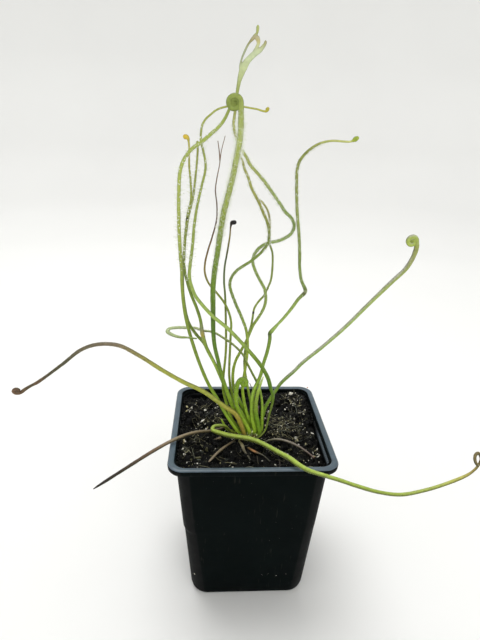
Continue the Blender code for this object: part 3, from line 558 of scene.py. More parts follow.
grow("forward_arching_leaf", "pale_green_leaf", [(4.8, -9.2, 93.7), (8.6, -7.6, 96.8), (11.1, -6, 107),
    (12.6, -7, 119.3), (10.9, -7.5, 125.1), (8.9, -8, 131.8), (5.9, -8.5, 137.7), (2.2, -9, 143.2),
    (-5.7, -9.5, 152.9), (-10, -10, 157.9), (-14.1, -10, 162.2), (-21.8, -10.5, 169), (-24.4, -10.5, 171.8),
    (-27.6, -10, 175.4), (-30.8, -10, 179.8), (-32.9, -9.5, 185.1), (-33.9, -9, 190.1), (-33.5, -8, 195.6),
    (-32.2, -7, 205.7), (-31.3, -5.5, 215.9), (-29.7, -4, 225.5), (-28.6, -3, 230.3), (-27.4, -2, 235.2),
    (-26.2, -1, 240), (-25.9, 0, 244), (-27, 1, 250), (-28.2, 1.5, 254.5), (-28.1, 2, 258.3),
    (-27.5, 2, 261.7), (-25.6, 2, 264.6), (-23.6, 2, 266.3), (-21.5, 2, 268), (-19.3, 2, 269.1),
    (-15, 2, 270.2), (-10, 2, 270.4), (-6.7, 2, 270), (-4, 2, 269.6), (-1.6, 2, 269.3), (1.1, 2, 268.6),
    (2.7, 2, 268.5), (3.5, 2, 269.6)],
    radii=[(0, 0.48), (0.05, 0.5), (0.09, 0.65), (0.13, 0.95), (0.17, 1.15), (0.3, 1.05), (0.45, 0.95),
        (0.6, 0.75), (0.7, 0.62), (0.85, 0.5), (0.972, 0.42), (0.991, 0.45), (0.995, 0.72), (0.998, 0.95),
        (1, 0.85)],
    tint=[(0, 102, 106, 48), (0.04, 82, 94, 36), (0.09, 90, 104, 50), (0.12, 80, 104, 36),
        (0.16, 68, 102, 18), (0.25, 100, 124, 32), (0.36, 142, 164, 78), (0.46, 140, 162, 76),
        (0.55, 134, 150, 70), (0.75, 140, 152, 74), (0.85, 150, 158, 76), (0.95, 168, 172, 80),
        (0.985, 160, 160, 62), (1, 166, 158, 50)],
    zones=[(0.5, 0.84, 4, 1.6, 0.23), (0.83, 0.9, 3, 0.8, 0.14)],
    hair=HAIR, fresh=0.2)
grow("swollen_bend_leaf", "pale_green_leaf", [(-3.1, 0.3, 95.1), (-6.2, 1.2, 102), (-9.4, 1.6, 109),
    (-13, 1.3, 117.5), (-17.2, 0.6, 128.5), (-21.2, -0.4, 138), (-23.9, -0.6, 143.6), (-26, -0.4, 148.8),
    (-27.6, 0, 155.2), (-28.5, 0.5, 162.2), (-30.4, 1, 168.8), (-34.2, 1.5, 178.9), (-36.9, 2, 190.5),
    (-36.9, 2, 201), (-35, 2, 218.8), (-33.2, 2, 226.8), (-33.4, 2, 237), (-33.9, 2, 242.3),
    (-34, 2, 253.5), (-34.6, 2, 255.8), (-35.6, 2, 256.2)],
    radii=[(0, 1.15), (0.3, 0.95), (0.36, 1.1), (0.385, 1.2), (0.42, 0.9), (0.6, 0.75), (0.93, 0.48),
        (0.982, 0.46), (0.992, 0.85), (0.997, 1.22), (1, 1.2)],
    tint=[(0, *CROWN_GREEN), (0.08, 112, 136, 38), (0.25, 150, 176, 68), (0.34, 114, 136, 46),
        (0.37, 122, 138, 54), (0.38, 158, 146, 56), (0.392, 138, 132, 72), (0.402, 124, 130, 92),
        (0.43, 112, 136, 44), (0.55, 104, 124, 42), (0.65, 128, 142, 60), (0.757, 138, 150, 68),
        (0.759, 26, 22, 14), (0.765, 26, 22, 14), (0.767, 138, 150, 68), (0.88, 146, 154, 70),
        (0.95, 160, 156, 68), (0.985, 168, 162, 74), (0.993, 190, 168, 58), (1, 194, 168, 48)],
    zones=[(0.34, 0.43, 8, 0.4, 0, 90, 180, HAIR_VIOLET), (0.6, 0.93, 4.5, 1.6, 0.23)],
    hair=HAIR)
grow("rear_left_leaf", "green_leaf", [(-5.1, 2.6, 95), (-7.6, 4.2, 102), (-10.9, 3.9, 109), (-13.2, 4, 116),
    (-17.3, 4, 126.5), (-22.2, 4.6, 138), (-27, 5.2, 147.2), (-31.2, 5.3, 152.4), (-35.4, 5.3, 159.6),
    (-37.8, 5.3, 172.4), (-38.2, 5.3, 184), (-37.4, 5.2, 198.6), (-34.6, 5, 218.2), (-32.8, 4.8, 225),
    (-31.8, 4.6, 231), (-30.7, 4.4, 240), (-30.1, 4.2, 246), (-29.8, 4.2, 250.6), (-29.9, 4.2, 252.2),
    (-29.9, 4, 254)],
    radii=[(0, 1.1), (0.2, 0.95), (0.5, 0.85), (0.7, 0.62), (0.95, 0.5), (1, 0.55)],
    tint=[(0, *CROWN_GREEN), (0.08, 108, 132, 36), (0.25, 154, 176, 66), (0.38, 108, 130, 46),
        (0.6, 122, 142, 58), (0.75, 148, 160, 76), (0.95, 148, 156, 80), (1, 136, 142, 66)],
    zones=[(0.36, 0.43, 12, 0.8, 0, 90, 180, HAIR_VIOLET), (0.66, 0.97, 4.5, 1.6, 0.23)],
    hair=HAIR)
grow("side_loop_leaf", "pale_green_leaf", [(6.9, -3.9, 94.7), (7.4, -2, 104), (7.4, 0.4, 110.3),
    (5.7, 3, 119.3), (0.7, 2.2, 130.2), (-2.1, 0.2, 136.5), (-4.8, -0.8, 142.5), (-9.9, -1, 148.3),
    (-16.4, -0.6, 153), (-21.5, 0.6, 155.6), (-27.2, 3.6, 155.3), (-31.6, 7.6, 155.2), (-36.8, 8.6, 155),
    (-42.3, 7.6, 155.4), (-46.3, 5.7, 155.3), (-47, 3.9, 154.4), (-43.9, 1.5, 153.4), (-39.8, -1, 153.2),
    (-35.4, -2.5, 153.6), (-30.8, -3.4, 153.4)],
    radii=[(0, 0.9), (0.2, 0.7), (0.5, 0.6), (0.75, 0.55), (0.9, 0.55), (1, 0.4)],
    tint=[(0, 100, 126, 36), (0.15, 104, 126, 42), (0.3, 114, 134, 54), (0.5, 116, 132, 62),
        (0.64, 138, 150, 92), (0.76, 148, 160, 112), (0.84, 134, 148, 98), (0.92, 122, 138, 74),
        (1, 110, 130, 54)],
    flat=[(0, 1), (0.6, 1), (0.76, 1.8), (0.86, 2), (0.95, 1.4), (1, 1)],
    zones=[(0.45, 0.97, 6, 0.45, 0.13)],
    hair=HAIR, face=SLANTED)
grow("dry_tipped_leaf", "olive_leaf", [(-0.2, 1.4, 95), (-4, 3.1, 102.2), (-8, 4, 109), (-10.6, 4.2, 116.5),
    (-12.1, 4.3, 126.6), (-12.2, 4.2, 134.3), (-12, 4.2, 142.5), (-11.8, 4, 152.4), (-11.7, 3.8, 160.3),
    (-13.2, 3.6, 166.5), (-15.8, 3.5, 172), (-19.6, 3.4, 177.1), (-24.5, 3.4, 183.3), (-26.3, 3.4, 188.9),
    (-26.1, 3.4, 194.3), (-24.6, 3.4, 200.8), (-22.7, 3.4, 207.1), (-20.3, 3.4, 216.6), (-20.2, 3.4, 224.2),
    (-21, 3.4, 231.3), (-20.4, 3.4, 236.7), (-19.1, 3.4, 243.5), (-18.3, 3.4, 249.8), (-16.5, 3.4, 257)],
    radii=[(0, 1), (0.2, 0.72), (0.5, 0.62), (0.7, 0.42), (0.85, 0.28), (1, 0.16)],
    tint=[(0, *CROWN_GREEN), (0.08, 122, 142, 50), (0.2, 122, 132, 54), (0.35, 118, 138, 48),
        (0.45, 118, 136, 48), (0.54, 124, 128, 50), (0.6, 132, 116, 52), (0.66, 112, 88, 46),
        (0.76, 80, 60, 42), (0.82, 92, 70, 52), (0.9, 112, 86, 66), (1, 120, 92, 72)],
    zones=[(0.6, 0.9, 4, 0.35, 0.05)],
    twig=[(-18.9, 3.4, 245.6), (-19.3, 3.4, 250), (-20, 3.4, 254.6)])
grow("black_tipped_leaf", "olive_leaf", [(-7.3, -0.4, 94.7), (-10.3, 1.5, 99.6), (-12.8, 4.3, 106.4),
    (-14.8, 6.2, 113.3), (-15.6, 6.6, 118), (-15.3, 6.8, 127.2), (-14.5, 6.8, 137), (-14.2, 6.8, 145),
    (-14.5, 6.8, 157.3), (-15.2, 6.8, 175), (-15.9, 6.8, 183), (-15.7, 6.8, 190.8), (-14.3, 6.8, 200),
    (-13.2, 6.8, 207.7), (-12.8, 6.8, 213), (-12.2, 6.8, 214.7), (-11, 6.8, 215)],
    radii=[(0, 1), (0.25, 0.74), (0.6, 0.62), (0.9, 0.46), (0.965, 0.4), (0.98, 0.55), (0.99, 1.2),
        (1, 1.2)],
    tint=[(0, *CROWN_GREEN), (0.08, 132, 152, 46), (0.25, 132, 150, 54), (0.45, 126, 140, 46),
        (0.6, 112, 126, 46), (0.72, 92, 112, 56), (0.84, 70, 82, 48), (0.93, 122, 112, 50),
        (0.96, 110, 96, 48), (0.975, 46, 36, 24), (0.985, 16, 12, 10), (1, 14, 10, 10)],
    zones=[(0.7, 0.95, 4, 0.3, 0.05)])
grow("wide_looping_leaf", "pale_green_leaf", [(1.8, 3.6, 94.9), (-2.3, 5.3, 102.5), (-6.5, 6.4, 111),
    (-9.2, 6.6, 118), (-9.9, 6.6, 123), (-9.7, 6.8, 129.4), (-8.4, 7.1, 135.2), (-5.4, 7.5, 141.6),
    (-2.6, 8, 147.1), (-0.9, 8.5, 151.5), (1.1, 9, 156.5), (4.1, 9.5, 161.3), (6.8, 10, 166.5),
    (7.8, 10, 172.2), (6.7, 10, 178.1), (4.8, 10, 181.6), (2.9, 10, 184.9), (0.7, 10, 189.6),
    (-0.4, 10, 193.5), (0.1, 10, 196.7), (1.6, 10, 199.5), (3.7, 10, 201.6), (7.5, 10, 203.7),
    (12.9, 10, 205), (16.6, 10, 206.6), (19.7, 10, 209.1), (21.2, 10, 213.3), (19.3, 10, 217.3),
    (15.9, 9.6, 220.4), (12.6, 9, 224.9), (6.5, 8, 232.7), (2.7, 7, 237.2), (-1.1, 6, 241.1),
    (-3.9, 5, 244), (-5.8, 4, 247.4), (-7.9, 2.5, 250.2), (-11, -1, 255.7), (-12.8, -5, 262.2),
    (-12.6, -7, 265.6), (-12.3, -7.6, 268)],
    radii=[(0, 1.1), (0.2, 0.85), (0.5, 0.8), (0.6, 0.9), (0.9, 0.75), (1, 0.62)],
    tint=[(0, *CROWN_GREEN), (0.08, 118, 148, 42), (0.15, 144, 166, 54), (0.25, 130, 150, 54),
        (0.35, 124, 144, 58), (0.5, 126, 146, 70), (0.62, 130, 150, 84), (0.72, 126, 146, 76),
        (0.85, 156, 164, 90), (1, 170, 174, 100)],
    zones=[(0.34, 0.56, 9, 0.45, 0.13), (0.52, 0.72, 10, 0.6, 0.16), (0.7, 0.99, 9, 1.2, 0.19)],
    hair=HAIR)
grow("inner_looping_leaf", "pale_green_leaf", [(2.4, -1.2, 95.1), (-0.6, 0.2, 101.4), (-2.6, 2.2, 108.3),
    (-3.8, 3, 114.6), (-4.2, 3.3, 119.2), (-3.6, 3.5, 127), (-3.2, 3.7, 130), (-2.3, 4, 138.8),
    (-2, 4, 145.6), (-3.1, 4.3, 155.3), (-6.3, 4.6, 164), (-9.5, 5, 171.1), (-12.4, 5, 179.2),
    (-12.8, 5, 182), (-12, 5, 185.6), (-9.6, 5, 189.2), (-5.9, 5, 192.1), (-2.4, 5, 194.4), (2, 5, 198.1),
    (4.4, 5, 200.7), (6.9, 5, 204.6), (7.3, 5, 210.7), (5.9, 5, 216), (3.9, 5, 220.2), (1.7, 5, 224.9),
    (-0.4, 4.6, 228.6), (-2.7, 4, 232.6), (-4.8, 3.5, 238.2), (-6.8, 3, 242.3), (-7.9, 2, 245.6),
    (-9.2, 0.8, 248.4), (-10.6, -1.2, 250.8)],
    radii=[(0, 1.05), (0.2, 0.85), (0.5, 0.8), (0.9, 0.7), (1, 0.45)],
    tint=[(0, *CROWN_GREEN), (0.08, 136, 162, 46), (0.25, 146, 166, 54), (0.45, 108, 130, 54),
        (0.56, 112, 132, 60), (0.64, 112, 132, 58), (0.73, 108, 122, 52), (0.8, 134, 136, 62),
        (0.9, 148, 152, 78), (1, 152, 152, 88)],
    zones=[(0.36, 0.62, 9, 0.42, 0.13), (0.66, 0.99, 8, 1, 0.19)],
    hair=HAIR)
grow("rear_thin_leaf", "green_leaf", [(4.8, 1.8, 94.8), (2.2, 5.4, 104.5), (-1, 8.4, 118), (-3, 10, 130),
    (-2.8, 11, 140), (-1.5, 12, 148.5), (0.3, 12.5, 155.1), (0.9, 12.7, 159.2), (1.8, 13, 165.4),
    (4.2, 13, 169.7), (6.8, 13, 172.9), (9.4, 13, 178.9), (10.4, 13, 181.9), (10.9, 13, 187),
    (10.6, 13, 197.4), (9.1, 13, 202), (8.4, 13, 207.5), (8.3, 13, 214.7), (7, 13, 220.3), (4.7, 13, 223.8),
    (2.6, 13, 226)],
    radii=[(0, 0.9), (0.4, 0.65), (1, 0.5)],
    tint=[(0, *CROWN_GREEN), (0.1, 134, 158, 52), (0.18, 148, 168, 70), (0.3, 112, 134, 38),
        (0.46, 132, 152, 66), (0.505, 130, 148, 64), (0.508, 24, 22, 12), (0.516, 24, 22, 12),
        (0.519, 132, 148, 64), (0.65, 122, 138, 56), (0.8, 108, 122, 50), (0.9, 122, 118, 54),
        (1, 156, 154, 96)],
    zones=[(0.5, 0.8, 4, 0.35, 0.1), (0.78, 0.99, 6, 0.9, 0.17)],
    hair=HAIR_YELLOW)
grow("kinked_bud_leaf", "green_leaf", [(3.2, -4.1, 95), (1.8, -2.8, 101.5), (1.3, -1.5, 108),
    (1.4, -0.6, 115.3), (2.5, 0, 120.4), (4.1, 0.7, 124), (6, 1.3, 129.3), (7.2, 2, 135.6), (8.7, 2.6, 141),
    (9.8, 3.2, 146), (10.4, 3.7, 150.9), (10.3, 4, 153.6), (11.3, 4.2, 155), (13.9, 4.5, 158.2),
    (18.1, 5, 163.1), (22.2, 5.5, 168.6), (25.6, 6, 173.7), (29, 6, 177.7), (28.6, 6, 179.7),
    (26.4, 6, 184.1), (24.9, 6, 191.5), (24.4, 6, 198.6), (23.4, 6, 208.4), (21.4, 6, 222.2),
    (20.2, 5.5, 235.5), (19.9, 5, 241.9), (20.7, 4.7, 246), (22.8, 4.5, 249.2), (25.7, 4, 252.1),
    (29.2, 4, 254.4), (33.4, 3.5, 255.8), (36.8, 3, 256.2), (41.8, 3, 256), (44.6, 2.5, 256),
    (45.9, 2.5, 256.4), (47.5, 2.5, 257.4), (48, 2.5, 257.7)],
    radii=[(0, 1.3), (0.1, 1.25), (0.2, 1), (0.31, 1.05), (0.325, 1.2), (0.35, 0.8), (0.45, 0.95),
        (0.475, 1.1), (0.5, 0.85), (0.85, 0.75), (0.93, 0.54), (0.984, 0.5), (0.988, 0.7), (0.9925, 1.18),
        (0.997, 1.28), (1, 1)],
    tint=[(0, *CROWN_GREEN), (0.06, 136, 168, 54), (0.16, 138, 168, 64), (0.22, 116, 144, 48),
        (0.29, 106, 132, 44), (0.308, 98, 122, 44), (0.313, 60, 76, 34), (0.32, 108, 132, 52),
        (0.335, 142, 166, 84), (0.42, 134, 156, 74), (0.463, 116, 134, 62), (0.469, 80, 84, 48),
        (0.475, 142, 148, 104), (0.483, 98, 114, 56), (0.5, 112, 132, 58), (0.56, 110, 130, 56),
        (0.68, 126, 140, 66), (0.86, 126, 134, 66), (0.93, 166, 170, 94), (0.982, 186, 190, 112),
        (0.988, 150, 162, 56), (0.994, 128, 146, 40), (1, 142, 158, 50)],
    zones=[(0.44, 0.56, 7, 0.45, 0.14), (0.55, 0.68, 9, 0.5, 0.14), (0.64, 0.84, 9, 1.05, 0.18),
        (0.82, 0.93, 8, 1.05, 0.15, 0, 80)],
    hair=HAIR)
grow("short_bright_leaf", "green_leaf", [(5.8, -6.3, 94.4), (4.7, -5.2, 101), (3.5, -4.3, 107),
    (3.3, -3.7, 112.5), (4.2, -3.2, 120), (5.6, -3, 125.5), (7, -3, 129.8)],
    radii=[(0, 1.2), (0.4, 1.35), (0.75, 1), (0.93, 0.6), (1, 0.35)],
    tint=[(0, 110, 140, 36), (0.15, 88, 122, 22), (0.3, 90, 122, 24), (0.5, 112, 134, 40),
        (0.7, 126, 150, 48), (0.88, 156, 180, 82), (1, 214, 230, 156)],
    zones=[(0.3, 0.95, 3, 0.25, 0.08)],
    hair=HAIR, fresh=0.12)
# Painted light: this leaf's skin that faces up is paled towards (166, 166, 150).
grow("right_coiled_leaf", "green_leaf", [(6.4, -1, 94.7), (7.9, 0.6, 101), (9.6, 2.2, 106.9),
    (12.3, 3.3, 112), (15.2, 4, 116.8), (18, 4.5, 121.2), (21.4, 5, 124.9), (26.1, 6, 129),
    (30.7, 7, 133.8), (42.3, 8, 144), (55, 9, 156.4), (65.8, 10.5, 168), (79.5, 12, 182.6),
    (86.3, 13, 189.4), (89.1, 13, 194.8), (90.5, 13, 199.6), (90.8, 13.1, 202.6),
    *coil((87.8, 13.2, 205.3), 2.6, 0.45, 1.45, 1.6)],
    radii=[(0, 1), (0.3, 0.98), (0.6, 1.08), (0.78, 1.25), (0.88, 1.35), (0.95, 1.25), (1, 1.3)],
    tint=[(0, 108, 136, 40), (0.05, 84, 118, 26), (0.18, 88, 116, 34), (0.36, 122, 144, 70),
        (0.54, 140, 162, 82), (0.68, 144, 160, 82), (0.79, 140, 150, 80), (0.83, 142, 146, 92),
        (0.87, 136, 142, 72), (0.91, 150, 166, 72), (0.97, 158, 174, 80), (1, 124, 136, 56)],
    zones=[(0.2, 0.84, 14, 0.4, 0.08, 180, 75), (0.18, 0.82, 4, 0.3, 0.07, 0, 60, HAIR)],
    hair=HAIR_VIOLET, fresh=0.35, upper=(166, 166, 150))
grow("left_spreading_leaf", "olive_leaf", [(-3, -7.3, 94.3), (-4.9, -7, 100.4), (-8.5, -7, 108),
    (-15.5, -7.5, 113.9), (-26.6, -8, 123.2), (-37.7, -8.8, 129.6), (-49, -9.4, 137.2), (-61.1, -10, 146.2),
    (-71.3, -11, 152.5), (-81.8, -12, 153.5), (-90.2, -13, 150.9), (-100.6, -14, 142.8),
    (-114.1, -15, 132.8), (-117.2, -15.4, 131.2), (-119.4, -15.6, 129.9), (-121.1, -15.8, 128.8),
    (-122.5, -15.9, 127.7), (-124.2, -16, 127.1), (-125.8, -16.1, 127.3), (-126.5, -16.3, 128.3),
    (-125.8, -16.4, 129.2), (-124.4, -16.6, 129.5), (-123.5, -16.7, 128.9), (-124.1, -16.8, 128.4)],
    radii=[(0, 1), (0.045, 1.35), (0.115, 1.4), (0.28, 1.2), (0.66, 1), (0.84, 0.78), (0.885, 0.88),
        (0.9, 0.76), (0.93, 0.94), (0.95, 1), (0.97, 1.08), (1, 0.85)],
    tint=[(0, 134, 112, 44), (0.04, 140, 116, 50), (0.085, 150, 134, 56), (0.185, 140, 144, 58),
        (0.4, 142, 146, 58), (0.49, 128, 122, 62), (0.58, 112, 98, 76), (0.67, 96, 88, 66),
        (0.76, 72, 70, 48), (0.84, 68, 62, 42), (0.885, 92, 68, 46), (0.9, 70, 60, 42), (0.94, 84, 62, 44),
        (0.97, 96, 68, 50), (1, 76, 56, 42)],
    zones=[(0.47, 0.9, 6, 0.4, 0.08)],
    fresh=0.1)
grow("front_trailing_leaf", "olive_leaf", [(-10.9, -3.6, 94.4), (-14, -5, 98.5), (-17.4, -6.5, 100.2),
    (-20.8, -7.7, 100.3), (-21.7, -9.6, 99.4), (-18.2, -11.4, 98.7), (-11.8, -13, 97.7), (-1.8, -15, 97.1),
    (4, -17.5, 96.6), (9.5, -22, 96.3), (14.2, -29, 97.5), (18.6, -36, 99.2), (22.1, -44, 101.1),
    (25.9, -50, 102.3), (30.6, -54.5, 103.4), (40.5, -57, 101.5), (48.1, -58, 99.1), (60.4, -58.5, 95.2),
    (71.2, -59, 94), (82.2, -59, 96.2), (93.2, -59, 100.3), (102.9, -58.8, 105.2), (106, -58.4, 107.7),
    (107.3, -58.2, 109.5), (108.4, -57.7, 111.3), (108.8, -57.5, 113.4), (108, -57.4, 115.6),
    (106.4, -57.6, 117), (105.1, -58, 116.2), (104.7, -58.8, 114.6), (105.1, -59.6, 113),
    (105.9, -60, 111.9)],
    radii=[(0, 0.85), (0.05, 0.9), (0.11, 1.35), (0.38, 1.42), (0.49, 1.05), (0.86, 0.85), (0.9, 0.62),
        (0.925, 0.62), (0.955, 0.85), (1, 0.7)],
    tint=[(0, 110, 120, 40), (0.05, 128, 144, 56), (0.12, 140, 154, 62), (0.3, 134, 152, 60),
        (0.5, 132, 148, 58), (0.65, 120, 134, 50), (0.8, 126, 132, 58), (0.87, 146, 138, 68),
        (0.9, 128, 108, 62), (0.925, 96, 74, 52), (0.96, 84, 64, 46), (1, 98, 78, 60)],
    zones=[(0.1, 0.4, 14, 0.35, 0.05), (0.4, 0.88, 5, 0.25, 0.05)],
    hair=HAIR_YELLOW, face=UPWARD, fresh=0.15)
grow("young_crozier_leaf", "green_leaf", [(0, -5.1, 94.9), (-2.8, -4.5, 101), (-5.6, -4.2, 106),
    (-7.4, -4.2, 110.5), (-8.3, -4.2, 116), (-8.4, -4.2, 121), (-7.8, -4.2, 125.4), (-6.1, -4.2, 128.4),
    (-4.2, -4.2, 128.9), (-2.9, -4.2, 127.4), (-3.3, -4.2, 125.6), (-4.5, -4.2, 125.6), (-5, -4.2, 126.8)],
    radii=[(0, 1.15), (0.5, 1.25), (0.8, 1.5), (0.92, 1.55), (1, 1.35)],
    tint=[(0, *CROWN_GREEN), (0.3, 112, 138, 32), (0.6, 108, 136, 32), (0.8, 102, 132, 28),
        (1, 108, 136, 34)],
    zones=[(0.3, 0.95, 8, 0.35, 0.08)],
    hair=HAIR, fresh=0.4)
grow("small_hooked_leaf", "olive_leaf", [(-12.9, -0.6, 93.8), (-14.7, -0.8, 97), (-16.3, -1, 100.6)],
    radii=[(0, 0.8), (1, 0.5)],
    tint=[(0, 150, 164, 60), (0.4, 176, 192, 78), (0.6, 140, 156, 50), (1, 160, 170, 84)],
    hair=HAIR_YELLOW)
grow("brown_hanging_leaf", "dry_leaf", [(-13.6, 2.2, 93.4), (-17.6, -1, 94), (-22.2, -4.6, 95.3),
    (-31.2, -9.6, 97.7), (-42.3, -19.5, 99.9), (-52.9, -24, 96.2), (-70.3, -30, 87.3), (-84.9, -34, 79)],
    radii=[(0, 0.8), (0.35, 1), (0.6, 0.98), (0.8, 0.92), (0.92, 0.84), (0.97, 0.62), (1, 0.25)],
    tint=[(0, 74, 66, 42), (0.12, 92, 82, 58), (0.25, 124, 110, 84), (0.42, 128, 114, 90),
        (0.55, 104, 84, 62), (0.68, 76, 60, 44), (0.8, 46, 38, 29), (1, 36, 29, 25)],
    zones=[(0.1, 0.8, 3, 0.2, 0)],
    **LYING)
grow("withered_leaf_front_left", "dry_leaf", [(-9.2, -12.1, 93.6), (-17.4, -21.8, 93.9),
    (-23.4, -31, 93.5)],
    radii=[(0, 0.5), (0.4, 0.75), (0.9, 0.7), (1, 0.45)],
    tint=[(0, 62, 52, 36), (0.35, 112, 98, 76), (1, 122, 110, 90)],
    **LYING)
grow("withered_leaf_front", "dry_leaf", [(-6.4, -12.1, 93.5), (-4.9, -17.8, 94.3), (-4.1, -21.6, 93.8),
    (-1.1, -29.8, 93.4)],
    radii=[(0, 0.5), (0.15, 0.75), (0.35, 0.85), (0.55, 0.7), (0.75, 0.5), (1, 0.32)],
    tint=[(0, 92, 86, 50), (0.35, 120, 112, 84), (0.6, 76, 70, 54), (1, 72, 70, 58)],
    flat=[(0, 1), (0.35, 1.25), (0.6, 1.1), (1, 1)],
    **LYING)
grow("withered_leaf_arched", "dry_leaf", [(8.3, -13.5, 93.6), (14, -16, 97), (19.4, -18, 97.3),
    (26.8, -21, 95.4), (31.6, -25, 93.8), (33.8, -28.2, 93.4)],
    radii=[(0, 0.6), (0.4, 0.75), (1, 0.6)],
    tint=[(0, 84, 84, 62), (0.25, 116, 110, 96), (0.5, 118, 110, 98), (0.8, 92, 82, 74), (1, 80, 56, 46)],
    **LYING)
grow("withered_leaf_orange", "dry_leaf", [(-1.7, -18.8, 93.5), (2, -23.4, 94), (6, -26.3, 93.9),
    (9.3, -31, 93.4)],
    radii=[(0, 0.5), (0.25, 0.68), (0.45, 0.62), (0.58, 0.4), (1, 0.3)],
    tint=[(0, 78, 66, 42), (0.2, 136, 98, 60), (0.34, 150, 104, 64), (0.44, 104, 84, 58),
        (0.55, 78, 73, 58), (0.7, 68, 66, 54), (1, 60, 60, 50)],
    flat=[(0, 1), (0.35, 1.2), (0.6, 1), (1, 0.8)],
    **LYING)
grow("withered_thread_front", "dry_leaf", [(2.9, -26.6, 93.2), (2.9, -33.1, 93.2)],
    radii=[(0, 0.3), (1, 0.25)],
    tint=[(0, 48, 40, 34), (1, 44, 40, 34)],
    **LYING)
grow("withered_stub_left", "dry_leaf", [(-17.2, -9.3, 93.6), (-20.8, -11.7, 93.6)],
    radii=[(0, 0.8), (0.8, 0.7), (1, 0.4)],
    tint=[(0, 134, 118, 88), (0.7, 112, 98, 74), (1, 88, 78, 62)],
    **LYING)
grow("withered_thread_right", "dry_leaf", [(14.7, -29.6, 93.2), (14.5, -35.1, 93.3)],
    radii=[(0, 0.3), (1, 0.25)],
    tint=[(0, 70, 62, 56), (1, 62, 56, 52)],
    **LYING)
grow("purple_withered_leaf", "dry_leaf", [(4.4, -2.1, 94.6), (4.9, -0.8, 102), (5.2, 0.4, 108.5)],
    radii=[(0, 0.6), (1, 0.45)],
    tint=[(0, 110, 104, 50), (0.3, 104, 82, 74), (1, 112, 94, 98)],
    fresh=0)
grow("dry_thread_leaf", "dry_leaf", [(5.4, 4.8, 93.6), (5, 8.4, 104), (3.2, 10, 112), (0.6, 11.4, 118)],
    radii=[(0, 0.4), (1, 0.25)],
    tint=[(0, 80, 70, 46), (0.5, 104, 96, 94), (1, 120, 116, 116)],
    fresh=0)


# ---------------------------------------------------------------- pot

POT_HEIGHT = 98.0
SKIRT_DROP = 3.6
LIP_HEIGHT = 96.5
LIP_INNER = 43.2
INNER_START = 3.0
STEP_HEIGHT = 50.0
FLOOR = 1.6
WALL = 1.3
CORNER_STEPS = 14
DRAIN_SPACING = 20.0
DRAIN_RADIUS = 3.2
OUTER_RINGS = range(5, 20)


def wall_half(height):
    """Half-width of the pot's outer wall, with its slight step half way up."""
    return 33.7 + 6.9 * height / (POT_HEIGHT - SKIRT_DROP) + (0.4 if height > STEP_HEIGHT else -0.1)


def rounded_square(half, corner, height, along=5):
    """Points of a square with rounded corners and divided sides, counter-clockwise."""
    arcs = []
    for quarter, (sx, sy) in enumerate(((1, 1), (-1, 1), (-1, -1), (1, -1))):
        turns = [math.radians(90 * (quarter + i / CORNER_STEPS)) for i in range(CORNER_STEPS + 1)]
        arcs.append([np.array((sx * (half - corner) + corner * math.cos(turn),
                               sy * (half - corner) + corner * math.sin(turn), height)) for turn in turns])
    points = []
    for arc, after in zip(arcs, arcs[1:] + arcs[:1]):
        points += arc + [arc[-1] + (after[0] - arc[-1]) * k / along for k in range(1, along)]
    return points


def pot_rings():
    """Half-width, corner radius and height of each ring: up the outside, over the lip and down inside."""
    rings = [(31.3, 7.6, 0), (32.1, 8.4, 0.15), (32.8, 9, 0.6), (33.2, 9.3, 1.2), (33.5, 9.5, 2.1)]
    rings += [(wall_half(z), 9.5 - 0.02 * z, z) for z in (4, 12, 24, 36, 47)]
    for share in (0, 0.2, 0.4, 0.6, 0.8, 1):
        ease = share * share * (3 - 2 * share)
        rings.append((wall_half(48) * (1 - ease) + wall_half(52) * ease, 8.5, 48 + 4 * share))
    rings += [(wall_half(z), 8.5, z) for z in (60, 70, 80, 90)]
    rings += [(wall_half(POT_HEIGHT - SKIRT_DROP), 8.4, 96.4), (43.7, 8, 96.4), (43.75, 8, 95),
              (43.85, 8.1, 94.55), (44.15, 8.3, 94.4), (44.6, 8.4, 94.5), (44.85, 8.5, 94.9),
              (44.95, 8.5, 96), (45, 8.5, 96.9), (44.85, 8.4, 97.45), (44.5, 8.2, 97.8), (44.05, 8, 97.95),
              (43.3, 7.6, 98), (42.3, 7, 97.97), (41.85, 6.6, 97.8), (41.62, 6.3, 97.45), (41.5, 6.2, 96.9),
              (41.3, 6.1, 95.4), (41.15, 6.05, 94.95), (40.7, 6, 94.7), (40.1, 5.9, 94.6), (39.8, 5.8, 94.3),
              (39.65, 5.8, 93.7)]
    rings += [(wall_half(z) - WALL, 5.9, z) for z in (90, 80, 60, 51.5, 48.5, 30, 12, 4)]
    return rings + [(31.9, 5.4, 2.2), (31, 5, FLOOR)]


def calmed(point, half):
    """Point of the outer wall, the step softened away from the left face."""
    share = min(1.0, max(0.0, (point[0] + 36) / 10))
    straight = 33.6 + 7.4 * point[2] / (POT_HEIGHT - SKIRT_DROP)
    swell = 1 + 0.9 * share * (straight / half - 1)
    return point * (swell, swell, 1)


